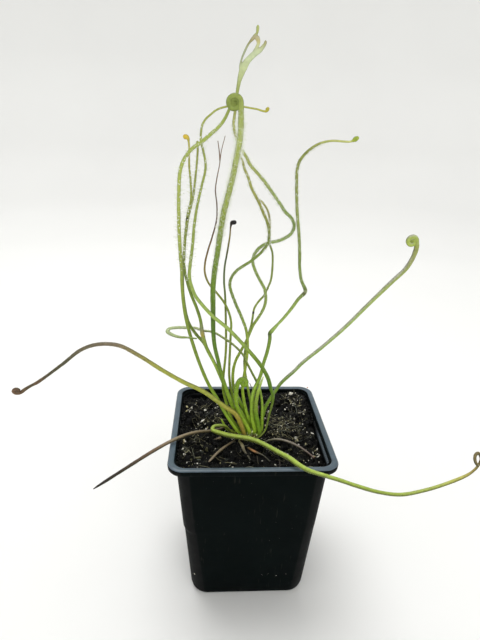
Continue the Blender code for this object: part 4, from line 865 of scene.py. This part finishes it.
def pot_shell():
    """The pot as one closed skin, its drain holes drilled."""
    rings = pot_rings()
    corners = [calmed(p, ring[0]) if k in OUTER_RINGS else p
               for k, ring in enumerate(rings) for p in rounded_square(*ring)]
    around = len(corners) // len(rings)
    faces = ring_faces(len(rings), around).tolist()
    faces += [range(around)[::-1], range(len(corners) - around, len(corners))]
    mesh = bpy.data.meshes.new("pot_shell")
    mesh.from_pydata([p * MM for p in corners], [], faces)
    pot = add_object("pot_shell", mesh)
    drills = bmesh.new()
    for x, y in itertools.product((-1, 0, 1), repeat=2):
        if x or y:
            spot = Matrix.Translation((x * DRAIN_SPACING * MM, y * DRAIN_SPACING * MM, 0))
            bmesh.ops.create_cone(drills, cap_ends=True, segments=28, radius1=DRAIN_RADIUS * MM,
                                  radius2=DRAIN_RADIUS * MM, depth=6 * MM, matrix=spot)
    drill_mesh = bpy.data.meshes.new("drills")
    drills.to_mesh(drill_mesh)
    drills.free()
    drill = add_object("drills", drill_mesh)
    cut = pot.modifiers.new("drain", "BOOLEAN")
    cut.operation, cut.solver, cut.object = "DIFFERENCE", "EXACT", drill
    pot.data = bpy.data.meshes.new_from_object(pot.evaluated_get(bpy.context.evaluated_depsgraph_get()))
    pot.modifiers.clear()
    bpy.data.objects.remove(drill, do_unlink=True)
    pot.data.shade_smooth()
    pot.data.set_sharp_from_angle(angle=math.radians(38))
    return pot


def pot_shader(name, dark, light, corner, roughness, specular, streak=0.0, ledge=None):
    """Black moulded plastic: paler rounded corners as painted sheen, faint upright scuffs, dust specks, and a
    ribbed band of painted light on the inner ledge.
    """
    skin = Shader(name, roughness, specular)
    colour = skin.blend(skin.patches(35, 0.35, 0.68, 0.0, 1.0, 5), linear(dark), linear(light))
    normal = skin.node("ShaderNodeTexCoord").outputs["Normal"]
    facing = skin.parts(skin.node("ShaderNodeVectorMath", {0: normal}, operation="ABSOLUTE").outputs[0])
    # Painted sheen: the rounded upright corners, where the wall turns, are paled in patches towards the
    # corner colour.
    edge = skin.span(skin.math("MINIMUM", facing["X"], facing["Y"]), 0.1, 0.22, 0.0, 1.0, "SMOOTHSTEP")
    corner_painted_sheen = skin.times(edge, skin.patches(220, 0.3, 0.6, 0.6, 1.0, 4))
    tall = skin.node("ShaderNodeMapping", {"Vector": skin.place, "Scale": (1.0, 1.0, 0.12)}).outputs[0]
    scuff = skin.patches(700, 0.66, 0.76, 0.0, 0.16, 2, 0.5, tall)
    specks = skin.patches(1500, 0.79, 0.84, 0.0, 0.5, 1, 0.4)
    for amount, tint in ((corner_painted_sheen, corner), (scuff, (78, 76, 66)), (specks, (130, 128, 118))):
        colour = skin.blend(amount, colour, linear(tint))
    if streak:
        colour = skin.brighten(colour, skin.patches(240, 0.35, 0.7, 1 - streak, 1 + streak, 6, 0.7))
    if ledge:
        # Painted light: a ribbed band high on the inner wall, at the right towards the front, is paled
        # towards the ledge colour.
        x, y, z = skin.parts(skin.place)
        ribs = skin.span(skin.math("SINE", skin.times(y, 4200.0)), -1, 1, 0.45, 1.0)
        ledge_painted_light = skin.times(
            ribs, skin.span(x, 0.037, 0.0392, 0.0, 1.0), skin.span(y, -0.011, -0.003, 1.0, 0.0),
            skin.span(z, 0.0932, 0.0952, 0.0, 1.0), skin.span(z, 0.096, 0.0968, 1.0, 0.0))
        colour = skin.blend(ledge_painted_light, colour, linear(ledge))
    skin.feed("Base Color", colour)
    skin.feed("Roughness", skin.patches(160, 0.3, 0.7, roughness - 0.06, roughness + 0.1, 4))
    skin.bump(0.12, 0.06, 1100, 3)
    return skin.material


pot = pot_shell()
pot.data.materials.clear()
# The lip's blue-grey colour is painted sheen of the sky on the black plastic, and the corner colours are
# painted sheen of the rounded corners.
for plastic in (pot_shader("pot_wall_plastic", (3, 8, 8), (5, 12, 12), (23, 24, 24), 0.5, 0.03),
                pot_shader("pot_lip_painted_sheen", (58, 76, 88), (74, 94, 106), (78, 92, 106), 0.34, 0.7, 0.18),
                pot_shader("pot_inner_plastic", (4, 6, 7), (7, 9, 10), (7, 9, 10), 0.45, 0.08,
                           ledge=(100, 110, 118))):
    pot.data.materials.append(plastic)
for polygon in pot.data.polygons:
    x, y, z = polygon.center / MM
    on_lip = z > LIP_HEIGHT and polygon.normal.z > 0.3
    inside = (max(abs(x), abs(y)) < LIP_INNER and z > INNER_START and polygon.normal.z > -0.5
              and polygon.normal.xy.dot((x, y)) < 0)
    polygon.material_index = 1 if on_lip else 2 if inside else 0
settle(pot, "square_nursery_pot", "black_plastic")


# ---------------------------------------------------------------- peat

SOIL_HALF = 39.3
SOIL_CORNER = 5.8
CELLS = 160
LITTER_HALF = 37.5
LEDGE_HEIGHT = 94.9
LEDGE_INNER = 38.4
LEDGE_WIDTH = 2.0

# Heaps of peat: place, reach along x and y, height.
BANKS = [(24, 38, 24, 12, 3.4), (6, 40, 16, 8, 1.0), (25, 2, 13, 14, 1.5), (40, 24, 9, 22, 2.6),
         (-40, -22, 7, 18, 3.0), (-40, 26, 7, 14, 3.0), (-20, 16, 7, 5, 2.0), (-6, -42, 46, 6, 2.2)]
# Hollows: place, radius, depth.
HOLLOWS = [(-34, 9, 6, 4.5), (-28, 4, 5, 2.5), (-31, 29, 6, 3.6), (-18, 30, 6, 2.6), (-14, 14, 4, 2.0),
           (9, 14, 6, 2.4), (14, -16, 7, 2.2), (-12, -28, 8, 2.0), (36, 20, 4, 2.4), (38, 4, 4, 2.6),
           (22, -30, 6, 1.6), (-33, -8, 4, 2.0), (20, 22, 4, 1.6), (30, 9, 3, 1.4)]
# Large clods: place, size.
CLODS = [(-31, 17.5, 3.4), (-26, 15, 3.0), (-22, 19, 2.6), (21, 29, 3.2), (27, 21, 2.6), (-20, -13, 2.8),
         (-25, -18, 1.9), (-29, -25, 2.0), (34, -16, 2.8), (-29, -9, 2.4), (33, 35, 2.4), (14, 33, 2.6)]
# Crumbs on the ledge inside the lip, but for the lower right front and the left of the back.
LEDGE_CRUMBS = [("left", -36, 34, 190), ("back", 0, 37, 110), ("right", 4, 37, 90), ("left", -36, -20, 40)]
# Clusters of fibres and of small grains: place, spread, number.
FIBRE_SPOTS = [(22, 6, 9, 90), (26, -6, 8, 80), (17, -4, 7, 55), (15, 8, 6, 40), (-30, 24, 7, 35),
               (-27, 10, 6, 40), (30, 30, 8, 45), (33, 17, 6, 40), (-30, -12, 6, 30), (-18, 12, 5, 30),
               (-32, -24, 6, 25), (33, -22, 5, 25)]
GRAIN_SPOTS = [(20, 7, 6, 26), (29, 29, 5, 14), (33, 17, 4, 16), (29, -8, 6, 16), (34, -24, 4, 10),
               (-28, 6, 4, 14), (-37, -14, 3, 6), (-37, 20, 3, 8), (17, -2, 5, 14)]
# Large grains: place, size.
WHITE_GRAINS = [(-26.7, 22.6, 1.1), (-32, 20, 0.6), (-30.4, 9.9, 0.7), (-27.7, 9.4, 0.8), (-29, 4.3, 0.6),
                (-25.5, 3.1, 0.5), (-31.4, -12.3, 0.5), (-38, -20.3, 0.7), (-36.8, -26, 0.7),
                (-29.6, -30.8, 0.6), (-18.7, 14, 0.5), (11.5, 14.2, 0.5), (14, 20.5, 0.6),
                (27.6, 29.8, 1.0), (29.9, 29.3, 0.7), (30.8, 27, 0.6), (25, 21.5, 0.5), (37.5, 19.8, 0.6),
                (35.8, 15.5, 0.5), (16.3, 9.1, 0.5), (24.6, 5, 0.5), (27.2, -8.2, 1.1), (34.3, -4.2, 0.6),
                (37.6, -4.7, 0.6), (28, -14, 0.6), (34.4, -13.6, 0.6), (37.5, -19.5, 0.6),
                (37.8, -24.7, 0.6), (32.8, -27.7, 0.5), (36.4, -28, 0.6), (31, 37, 1.5)]
STRAW_GRAINS = [(-38, 18.5, 0.8), (-37.8, 22.3, 0.6), (-37.8, -13, 0.8), (-37.6, -15.6, 0.7),
                (31.9, -14.4, 0.6), (27.5, -12.5, 0.5)]
OLIVE_GRAINS = [(-24.8, -19.3, 1.2), (-29.3, -26.3, 1.0), (-22, -25, 0.8), (-33, -29, 0.7), (22, -20, 0.8)]
# Grains that stick to the front of the pot, with their size, and one on the lip.
STRAY_GRAINS = [(-31.5, -32.3, 15.3, 0.55), (-29.9, -33.2, 20.8, 0.22), (8.1, -34.8, 16, 0.16),
                (11.6, -34.8, 16.7, 0.2), (16.5, -34.8, 14.9, 0.26), (22.3, -34.8, 16.3, 0.14)]
RUST_CRUMB = (42.9, 42.6, 98.05)
rng = np.random.default_rng(7)


def from_crown(x, y):
    """Distance from the crown's middle, 1 being about its edge."""
    return np.hypot((x - CROWN[0]) / 11, (y - CROWN[1]) / 9)


def ground(x, y):
    """Height of the peat: uneven, level near the crown and lower at the wall."""
    rough = (np.sin(0.62 * x + 1.3) * np.cos(0.55 * y - 0.4) + 0.6 * np.sin(1.05 * x - 0.9 * y)
             + 0.5 * np.cos(0.35 * x + 0.8 * y + 2.0)) / 2.1
    level = np.clip((from_crown(x, y) - 1.1) / 0.7, 0, 1)
    edge = np.maximum(0, np.maximum(np.abs(x), np.abs(y)) - 33) / 6
    z = SOIL_TOP + 1.4 * level * (rough - 0.15) - 0.3 * edge * edge
    for bx, by, wide, deep, rise in BANKS:
        z = z + rise * np.exp(-((x - bx) / wide) ** 2 - ((y - by) / deep) ** 2)
    return z


def crumble(points, scale, depth):
    """Ragged noise offset along z."""
    return np.array([depth * noise.fractal(Vector(p) * scale, 0.6, 2.2, 4) for p in points])


def surface_height(x, y):
    """Height of the finished peat: the ground with its hollows and clods."""
    z = ground(x, y)
    for hx, hy, radius, depth in HOLLOWS:
        z = z - depth * np.exp(-((x - hx) ** 2 + (y - hy) ** 2) / (0.5 * radius ** 2))
    spots = np.stack([np.ravel(x), np.ravel(y), np.zeros(np.size(x))], 1)
    swell = crumble(spots, 0.17, 1.1) + crumble(spots + 40, 0.45, 1.5)
    return z + np.reshape(swell, np.shape(x)) * np.clip((from_crown(x, y) - 0.8) / 0.6, 0.15, 1)


def on_peat(x, y, above=0.0):
    """Place on the peat, or above it."""
    return np.array((x, y, float(surface_height(x, y)) + above))


def peat_block():
    """The block of peat, with a finely crumbled top."""
    steps = np.linspace(-SOIL_HALF, SOIL_HALF, CELLS + 1)
    flat = np.stack(np.meshgrid(steps, steps))
    inner = SOIL_HALF - SOIL_CORNER
    over = np.maximum(0, np.abs(flat) - inner)
    pull = np.where((over > 0).all(0), over.max(0) / np.maximum(np.hypot(*over), 1e-9), 1.0)
    x, y = np.where(over > 0, np.sign(flat) * (inner + over * pull), flat)
    spots = np.stack([x.ravel(), y.ravel(), np.zeros(x.size)], 1)
    top = spots.copy()
    top[:, 2] = surface_height(x, y).ravel() + crumble(spots, 1.2, 0.8)
    index = np.arange(x.size).reshape(x.shape)
    cells = np.stack([index[:-1, :-1], index[:-1, 1:], index[1:, 1:], index[1:, :-1]], 2).reshape(-1, 4)
    border = top[np.concatenate([index[0, :-1], index[:-1, -1], index[-1, :0:-1], index[:0:-1, 0]])]
    wall = [border]
    for height in (STEP_HEIGHT + 1.5, STEP_HEIGHT - 1.5, FLOOR + 0.4):
        shrink = (wall_half(height) - WALL - 0.5) / SOIL_HALF
        wall.append(border * (shrink, shrink, 0) + (0, 0, height))
    around = len(border)
    block = Surface()
    block.add(top, [cells])
    block.add(np.concatenate(wall + [[(0, 0, FLOOR + 0.4)]]),
              [ring_faces(4, around)[:, ::-1], fan(4 * around, 3 * around, around)[:, ::-1]])
    return block


def pebble(level):
    """Corners and faces of a round lump."""
    shape = bmesh.new()
    bmesh.ops.create_icosphere(shape, subdivisions=level, radius=1)
    points = np.array([v.co[:] for v in shape.verts])
    faces = np.array([[v.index for v in f.verts] for f in shape.faces])
    shape.free()
    return points, faces


PEBBLES = {level: pebble(level) for level in (1, 2, 3)}


def lump(surface, centre, size, level=2, rough=0.45, flat=1.0, slot=0, tone=None, long=1.0):
    """One ragged grain, chip or clod."""
    shape, faces = PEBBLES[level]
    offset = rng.random(3) * 50
    swell = np.array([1 + rough * noise.fractal(Vector(p * 1.3 + offset), 0.7, 2.1, 3) for p in shape])
    points = shape * swell[:, None] * (np.array([long, 0.75, 0.65]) * (0.8 + 0.4 * rng.random(3)))
    points = points @ np.array(Euler(rng.random(3) * 2 * math.pi).to_matrix()).T
    points[:, 2] *= flat
    surface.add(points * size + centre, [faces], slot, rng.random(), rng.random() if tone is None else tone)


def scatter(amount, half=LITTER_HALF, clear=8.0):
    """Places on the peat, off the crown."""
    places = []
    while len(places) < amount:
        x, y = (rng.random(2) * 2 - 1) * half
        if math.hypot(x - CROWN[0], y - CROWN[1]) > clear * rng.random() ** 0.3:
            places.append(on_peat(x, y))
    return places


def clusters(spots, looseness, above):
    """Places above the peat in loose clusters."""
    for x, y, spread, amount in spots:
        for _ in range(amount):
            px, py = x + rng.normal(0, spread * looseness), y + rng.normal(0, spread * looseness)
            if max(abs(px), abs(py)) < LITTER_HALF:
                yield on_peat(px, py, above)


def thread(surface, start, length, radius, heading, lift, steps=6):
    """One limp fibre lying on the peat."""
    route = [start]
    for _ in range(steps):
        heading += rng.normal(0, 0.35)
        lift += rng.normal(0, 0.25) - 0.1 * lift
        point = route[-1] + np.array([math.cos(heading), math.sin(heading), lift]) * length / steps
        if np.max(np.abs(point[:2])) > 38.2:
            break
        point[2] = max(point[2], on_peat(*point[:2], 0.1)[2])
        route.append(point)
    if len(route) < 3:
        return
    pitch = length / 9
    radii = [(0, radius * 0.7), (0.4, radius), (1, radius * 0.4)]
    sweep(surface, Stalk(flowing(route, pitch), radii, UPWARD, pitch=pitch), 0, 4, 0.0, tone=rng.random())


peat = peat_block()
for place in scatter(620):
    size = 0.4 + 1.0 * rng.random() ** 2.2
    lump(peat, place + (0, 0, 0.15 * size), size, 2 if size > 0.8 else 1, 0.6, tone=rng.random())
clods = Surface()
for place in scatter(105, 36, 13):
    size = 1.3 + 1.6 * rng.random() ** 1.5
    lump(clods, place - (0, 0, 0.1 * size), size, 3, 0.8, 0.85, tone=rng.random())
for x, y, size in CLODS:
    lump(clods, on_peat(x, y, -0.1), size, 3, 0.7, 0.7, tone=rng.random())
for side, start, stop, amount in LEDGE_CRUMBS:
    for _ in range(amount):
        at, out = start + (stop - start) * rng.random(), LEDGE_INNER + LEDGE_WIDTH * rng.random()
        x, y = {"left": (-out, at), "right": (out, at), "back": (at, out)}[side]
        size = 0.5 + 0.5 * rng.random()
        height = LEDGE_HEIGHT - 0.7 * (LEDGE_INNER + LEDGE_WIDTH - out) + 0.8 * rng.random()
        lump(clods, (x, y, height), size, 2, 0.7, 0.9, tone=rng.random())

litter = Surface()
for place in scatter(230, 37):
    thread(litter, place + (0, 0, 0.4), 2 + 5 * rng.random() ** 1.5, 0.1 + 0.2 * rng.random() ** 2,
           rng.random() * 2 * math.pi, 0.4 * rng.random())
for place in clusters(FIBRE_SPOTS, 0.5, 0.5):
    thread(litter, place, 2 + 4 * rng.random(), 0.12 + 0.2 * rng.random() ** 1.5,
           rng.random() * 2 * math.pi, 0.7 * rng.random())

grains = Surface()
for slot, chips in enumerate((WHITE_GRAINS, STRAW_GRAINS, OLIVE_GRAINS)):
    for x, y, size in chips:
        lump(grains, on_peat(x, y, 0.7 + 0.3 * size), size * 1.05, 2, 0.5, 0.7, slot, long=1.5)
for place in scatter(300, clear=12):
    size, slot = 0.2 + 0.3 * rng.random() ** 2, int(rng.random() < 0.45)
    lump(grains, place + (0, 0, 0.6), size, 1, 0.5, 0.8, slot, long=1.6)
for place in clusters(GRAIN_SPOTS, 0.6, 0.8):
    size, slot = 0.25 + 0.4 * rng.random() ** 1.5, int(rng.random() < 0.3)
    lump(grains, place, size, 1, 0.5, 0.7, slot, long=1.9)
# A curled pale husk in the far right corner.
husk_place = on_peat(30.6, 37.2, 1.0)
husk = [husk_place + (1.15 * math.cos(a), 0.95 * math.sin(a), 0.15 * k)
        for k, a in enumerate(np.radians(np.arange(130, 400, 30)))]
sweep(grains, Stalk(husk, [(0, 0.25), (0.5, 0.62), (1, 0.3)], UPWARD, ((0, 1.2), (1, 1.5)), 0.3), 0, 8, 0.0)
for *place, size in STRAY_GRAINS:
    lump(grains, place, size, 2, 0.3)
lump(grains, RUST_CRUMB, 0.55, 2, 0.3, 0.6, slot=3)


def earth_shader(name, gloss):
    """Damp peat: near black, with brown and olive crumbs and a wet gloss in places."""
    skin = Shader(name, 0.5, 0.16)
    colour = skin.ramp(skin.noise(420, 8, 0.7), [
        (0.3, 1, 1, 1), (0.5, 4, 5, 4), (0.58, 13, 14, 11), (0.66, 64, 64, 50), (0.75, 136, 134, 108)])
    skin.feed("Base Color", skin.brighten(colour, skin.patches(90, 0.35, 0.65, 0.35, 1.4, 3)))
    skin.feed("Roughness", skin.patches(200, 0.35, 0.65, gloss, 0.85, 4))
    skin.bump(0.9, 0.6, 900, 8, 0.7)
    return skin.material


def grain_shader(name, dark, light):
    """Chalky mineral grain."""
    skin = Shader(name, 0.6, 0.4)
    skin.feed("Base Color", skin.ramp(skin.noise(1400, 5, 0.6), [(0.3, *dark), (0.6, *light), (0.8, *light)]))
    skin.bump(0.5, 0.2, 2500, 4)
    return skin.material


def litter_shader():
    """Peat fibres from dark brown to straw."""
    skin = Shader("peat_fibre", 0.65, 0.3)
    colour = skin.ramp(skin.attribute("tone"), [
        (0, 14, 13, 10), (0.35, 40, 38, 28), (0.55, 80, 76, 56),
        (0.72, 110, 106, 80), (0.85, 100, 106, 98), (1, 188, 182, 136)])
    skin.feed("Base Color", skin.brighten(colour, skin.patches(700, 0.3, 0.7, 0.7, 1.25)))
    skin.bump(0.4, 0.15, 2500, 3)
    return skin.material


settle(peat.build("peat_mound", [earth_shader("damp_peat", 0.35)]), "peat_soil", "peat")
settle(clods.build("peat_clods", [earth_shader("wet_clod", 0.16)]), None, "peat")
settle(litter.build("peat_fibres", [litter_shader()]), None, "peat")
settle(grains.build("perlite_grains", [
    grain_shader("white_grain", (196, 188, 160), (250, 248, 236)),
    grain_shader("straw_grain", (132, 122, 80), (204, 196, 150)),
    grain_shader("olive_grain", (52, 50, 32), (96, 94, 62)),
    grain_shader("rust_grain", (120, 62, 30), (190, 110, 50))]), None, "peat")


# ---------------------------------------------------------------- crown

CROWN_WIDE = 10.5
CROWN_DEEP = 8.6
DOME_RINGS = 14
DOME_SIDES = 48
SHEATHS = 26
STIPULES = 60
# Pale scales at the front of the crown: place, size.
SCALES = [(1.2, -8.9, 97.4, 0.7), (3.9, -9.4, 95.4, 0.6), (-0.8, -9.6, 95.2, 0.45), (2.4, -9.9, 94.6, 0.45),
          (-3.2, -10, 94.7, 0.4), (0.4, -9.8, 94.6, 0.5), (3, -9.6, 96.3, 0.35)]


def by_crown(turn, wide, deep, above):
    """Point on an oval round the middle of the crown."""
    return np.array([CROWN[0] + wide * math.cos(turn), CROWN[1] + deep * math.sin(turn), SOIL_TOP + above])


# A low dome, with the sheaths of old leaves, fine stipules and scales on it.
heart = Surface()
dome = [by_crown(0, 0, 0, 2.6)]
for ring, k in itertools.product(range(1, DOME_RINGS + 1), range(DOME_SIDES)):
    out = ring / DOME_RINGS
    rise = 2.9 * (1 - out ** 2.2) - 0.6
    point = by_crown(2 * math.pi * k / DOME_SIDES, CROWN_WIDE * out, CROWN_DEEP * out, rise)
    dome.append(point + (0, 0, 0.5 * noise.noise(Vector((point[0], point[1], 3)) * 0.7)))
under = fan(len(dome), 1 + (DOME_RINGS - 1) * DOME_SIDES, DOME_SIDES)[:, ::-1]
dome.append(by_crown(0, 0, 0, -1.2))
heart.add(dome, [ring_faces(DOME_RINGS, DOME_SIDES, 1)[:, ::-1], fan(0, 1, DOME_SIDES), under], 0, 0.3, 0.5)
for k in range(SHEATHS):
    turn = 2 * math.pi * (k + 0.6 * rng.random()) / SHEATHS
    out = 0.45 + 0.5 * rng.random()
    foot = by_crown(turn, 9.5 * out, 7.8 * out, 0)
    lean = np.array([math.cos(turn) * 1.2, math.sin(turn), 1.5 + rng.random()]) * (1.6 + 2.2 * rng.random())
    route = [foot, foot + lean * 0.3, foot + lean * 0.55 + (0, 0, 0.5)]
    sheath = Stalk(route, [(0, 0.9), (0.5, 0.75), (1, 0.15)], (math.cos(turn), math.sin(turn), 0.2),
                   ((0, 1.5), (1, 1.2)), 0.3)
    sweep(heart, sheath, int(rng.random() < 0.45), 10, 0.1)
for _ in range(STIPULES):
    turn, out = 2 * math.pi * rng.random(), rng.random() ** 0.7
    foot = by_crown(turn, 7 * out, 5 * out, 2.4 - 1.6 * out) + (1.5, -2, 0)
    tip = foot + (rng.normal(0, 0.5), rng.normal(0, 0.5) - 0.3, 1.0 + 1.4 * rng.random())
    sweep(heart, Stalk([foot, (foot + tip) / 2, tip], [(0, 0.12), (1, 0.05)]), 2, 4, 0.0)
for x, y, z, size in SCALES:
    scale = [(x - 0.4 * size, y, z - 1.3 * size), (x, y - 0.3 * size, z), (x + 0.5 * size, y, z + 1.1 * size)]
    radii = [(0, 0.25 * size), (0.5, 0.5 * size), (1, 0.12 * size)]
    sweep(heart, Stalk(scale, radii, flat=((0, 1.4), (1, 1.4)), pitch=0.3), 2, 8, 0.0)
settle(heart.build("crown_heart", [
    leaf_shader("crown_skin", [(0, 96, 112, 34), (0.4, 128, 146, 48), (1, 150, 170, 60)], mottle=0.4),
    leaf_shader("old_sheath", [(0, 84, 66, 30), (0.5, 122, 98, 48), (1, 90, 66, 40)], mottle=0.4),
    hair_shader("stipule", (164, 186, 92), (226, 234, 170), 0.0)]), "crown", "green_leaf")


# ---------------------------------------------------------------- studio, in metres

def studio_floor():
    """A round sheet of pale paper that curves up at its rim."""
    profile = [(0.5, 0), (1.1, 0), (1.5, 0.05), (1.8, 0.22), (2.0, 0.55), (2.05, 1.1), (2.05, 1.8)]
    segments = 64
    points = [(radius * math.cos(turn), radius * math.sin(turn), height) for radius, height in profile
              for turn in 2 * math.pi * np.arange(segments) / segments]
    faces = fan(len(points), 0, segments).tolist() + ring_faces(len(profile), segments)[:, ::-1].tolist()
    mesh = bpy.data.meshes.new("studio_floor")
    mesh.from_pydata(points + [(0, 0, 0)], [], faces)
    mesh.shade_smooth()
    paper = Shader("studio_paper", 0.9, 0.2)
    paper.feed("Base Color", paper.blend(paper.patches(3, 0.3, 0.7, 0, 1, 2), linear((243, 243, 241)),
                                         linear((245, 245, 243))))
    mesh.materials.append(paper.material)
    return add_object("studio_floor", mesh)


studio_floor()

world = bpy.data.worlds.new("studio_world")
world.use_nodes = True
sky = world.node_tree.nodes["Background"].inputs
sky["Color"].default_value = (1.0, 1.0, 1.0, 1.0)
sky["Strength"].default_value = 0.55
bpy.context.scene.world = world


def lamp(name, place, size, power):
    """A round soft lamp aimed at the middle of the plant."""
    light = bpy.data.lights.new(name, "AREA")
    light.shape, light.size, light.energy = "DISK", size, power
    fixture = add_object(name, light)
    fixture.location = place
    fixture.rotation_euler = (Vector((0, 0, 0.15)) - Vector(place)).to_track_quat("-Z", "Y").to_euler()


lamp("overhead_softbox", (-0.2, 0.5, 1.7), 1.2, 17)
lamp("front_fill", (0.5, -1.4, 1.1), 1.0, 5)

# Camera: below the tip of the plant, looking down by 20.7 degrees.
CAMERA_PLACE = (-0.0219, -0.2475, 0.2568)
PITCH, YAW, ROLL = np.radians((20.7, 3.44, 1.6))
lens = bpy.data.cameras.new("camera")
lens.lens = 27.25
lens.sensor_width = 36
lens.clip_start = 0.01
camera = add_object("camera", lens)
camera.matrix_world = (Matrix.Translation(CAMERA_PLACE) @ Matrix.Rotation(-YAW, 4, "Z")
                       @ Matrix.Rotation(math.pi / 2 - PITCH, 4, "X") @ Matrix.Rotation(ROLL, 4, "Z"))
bpy.context.scene.camera = camera
bpy.context.scene.view_settings.view_transform = "Standard"
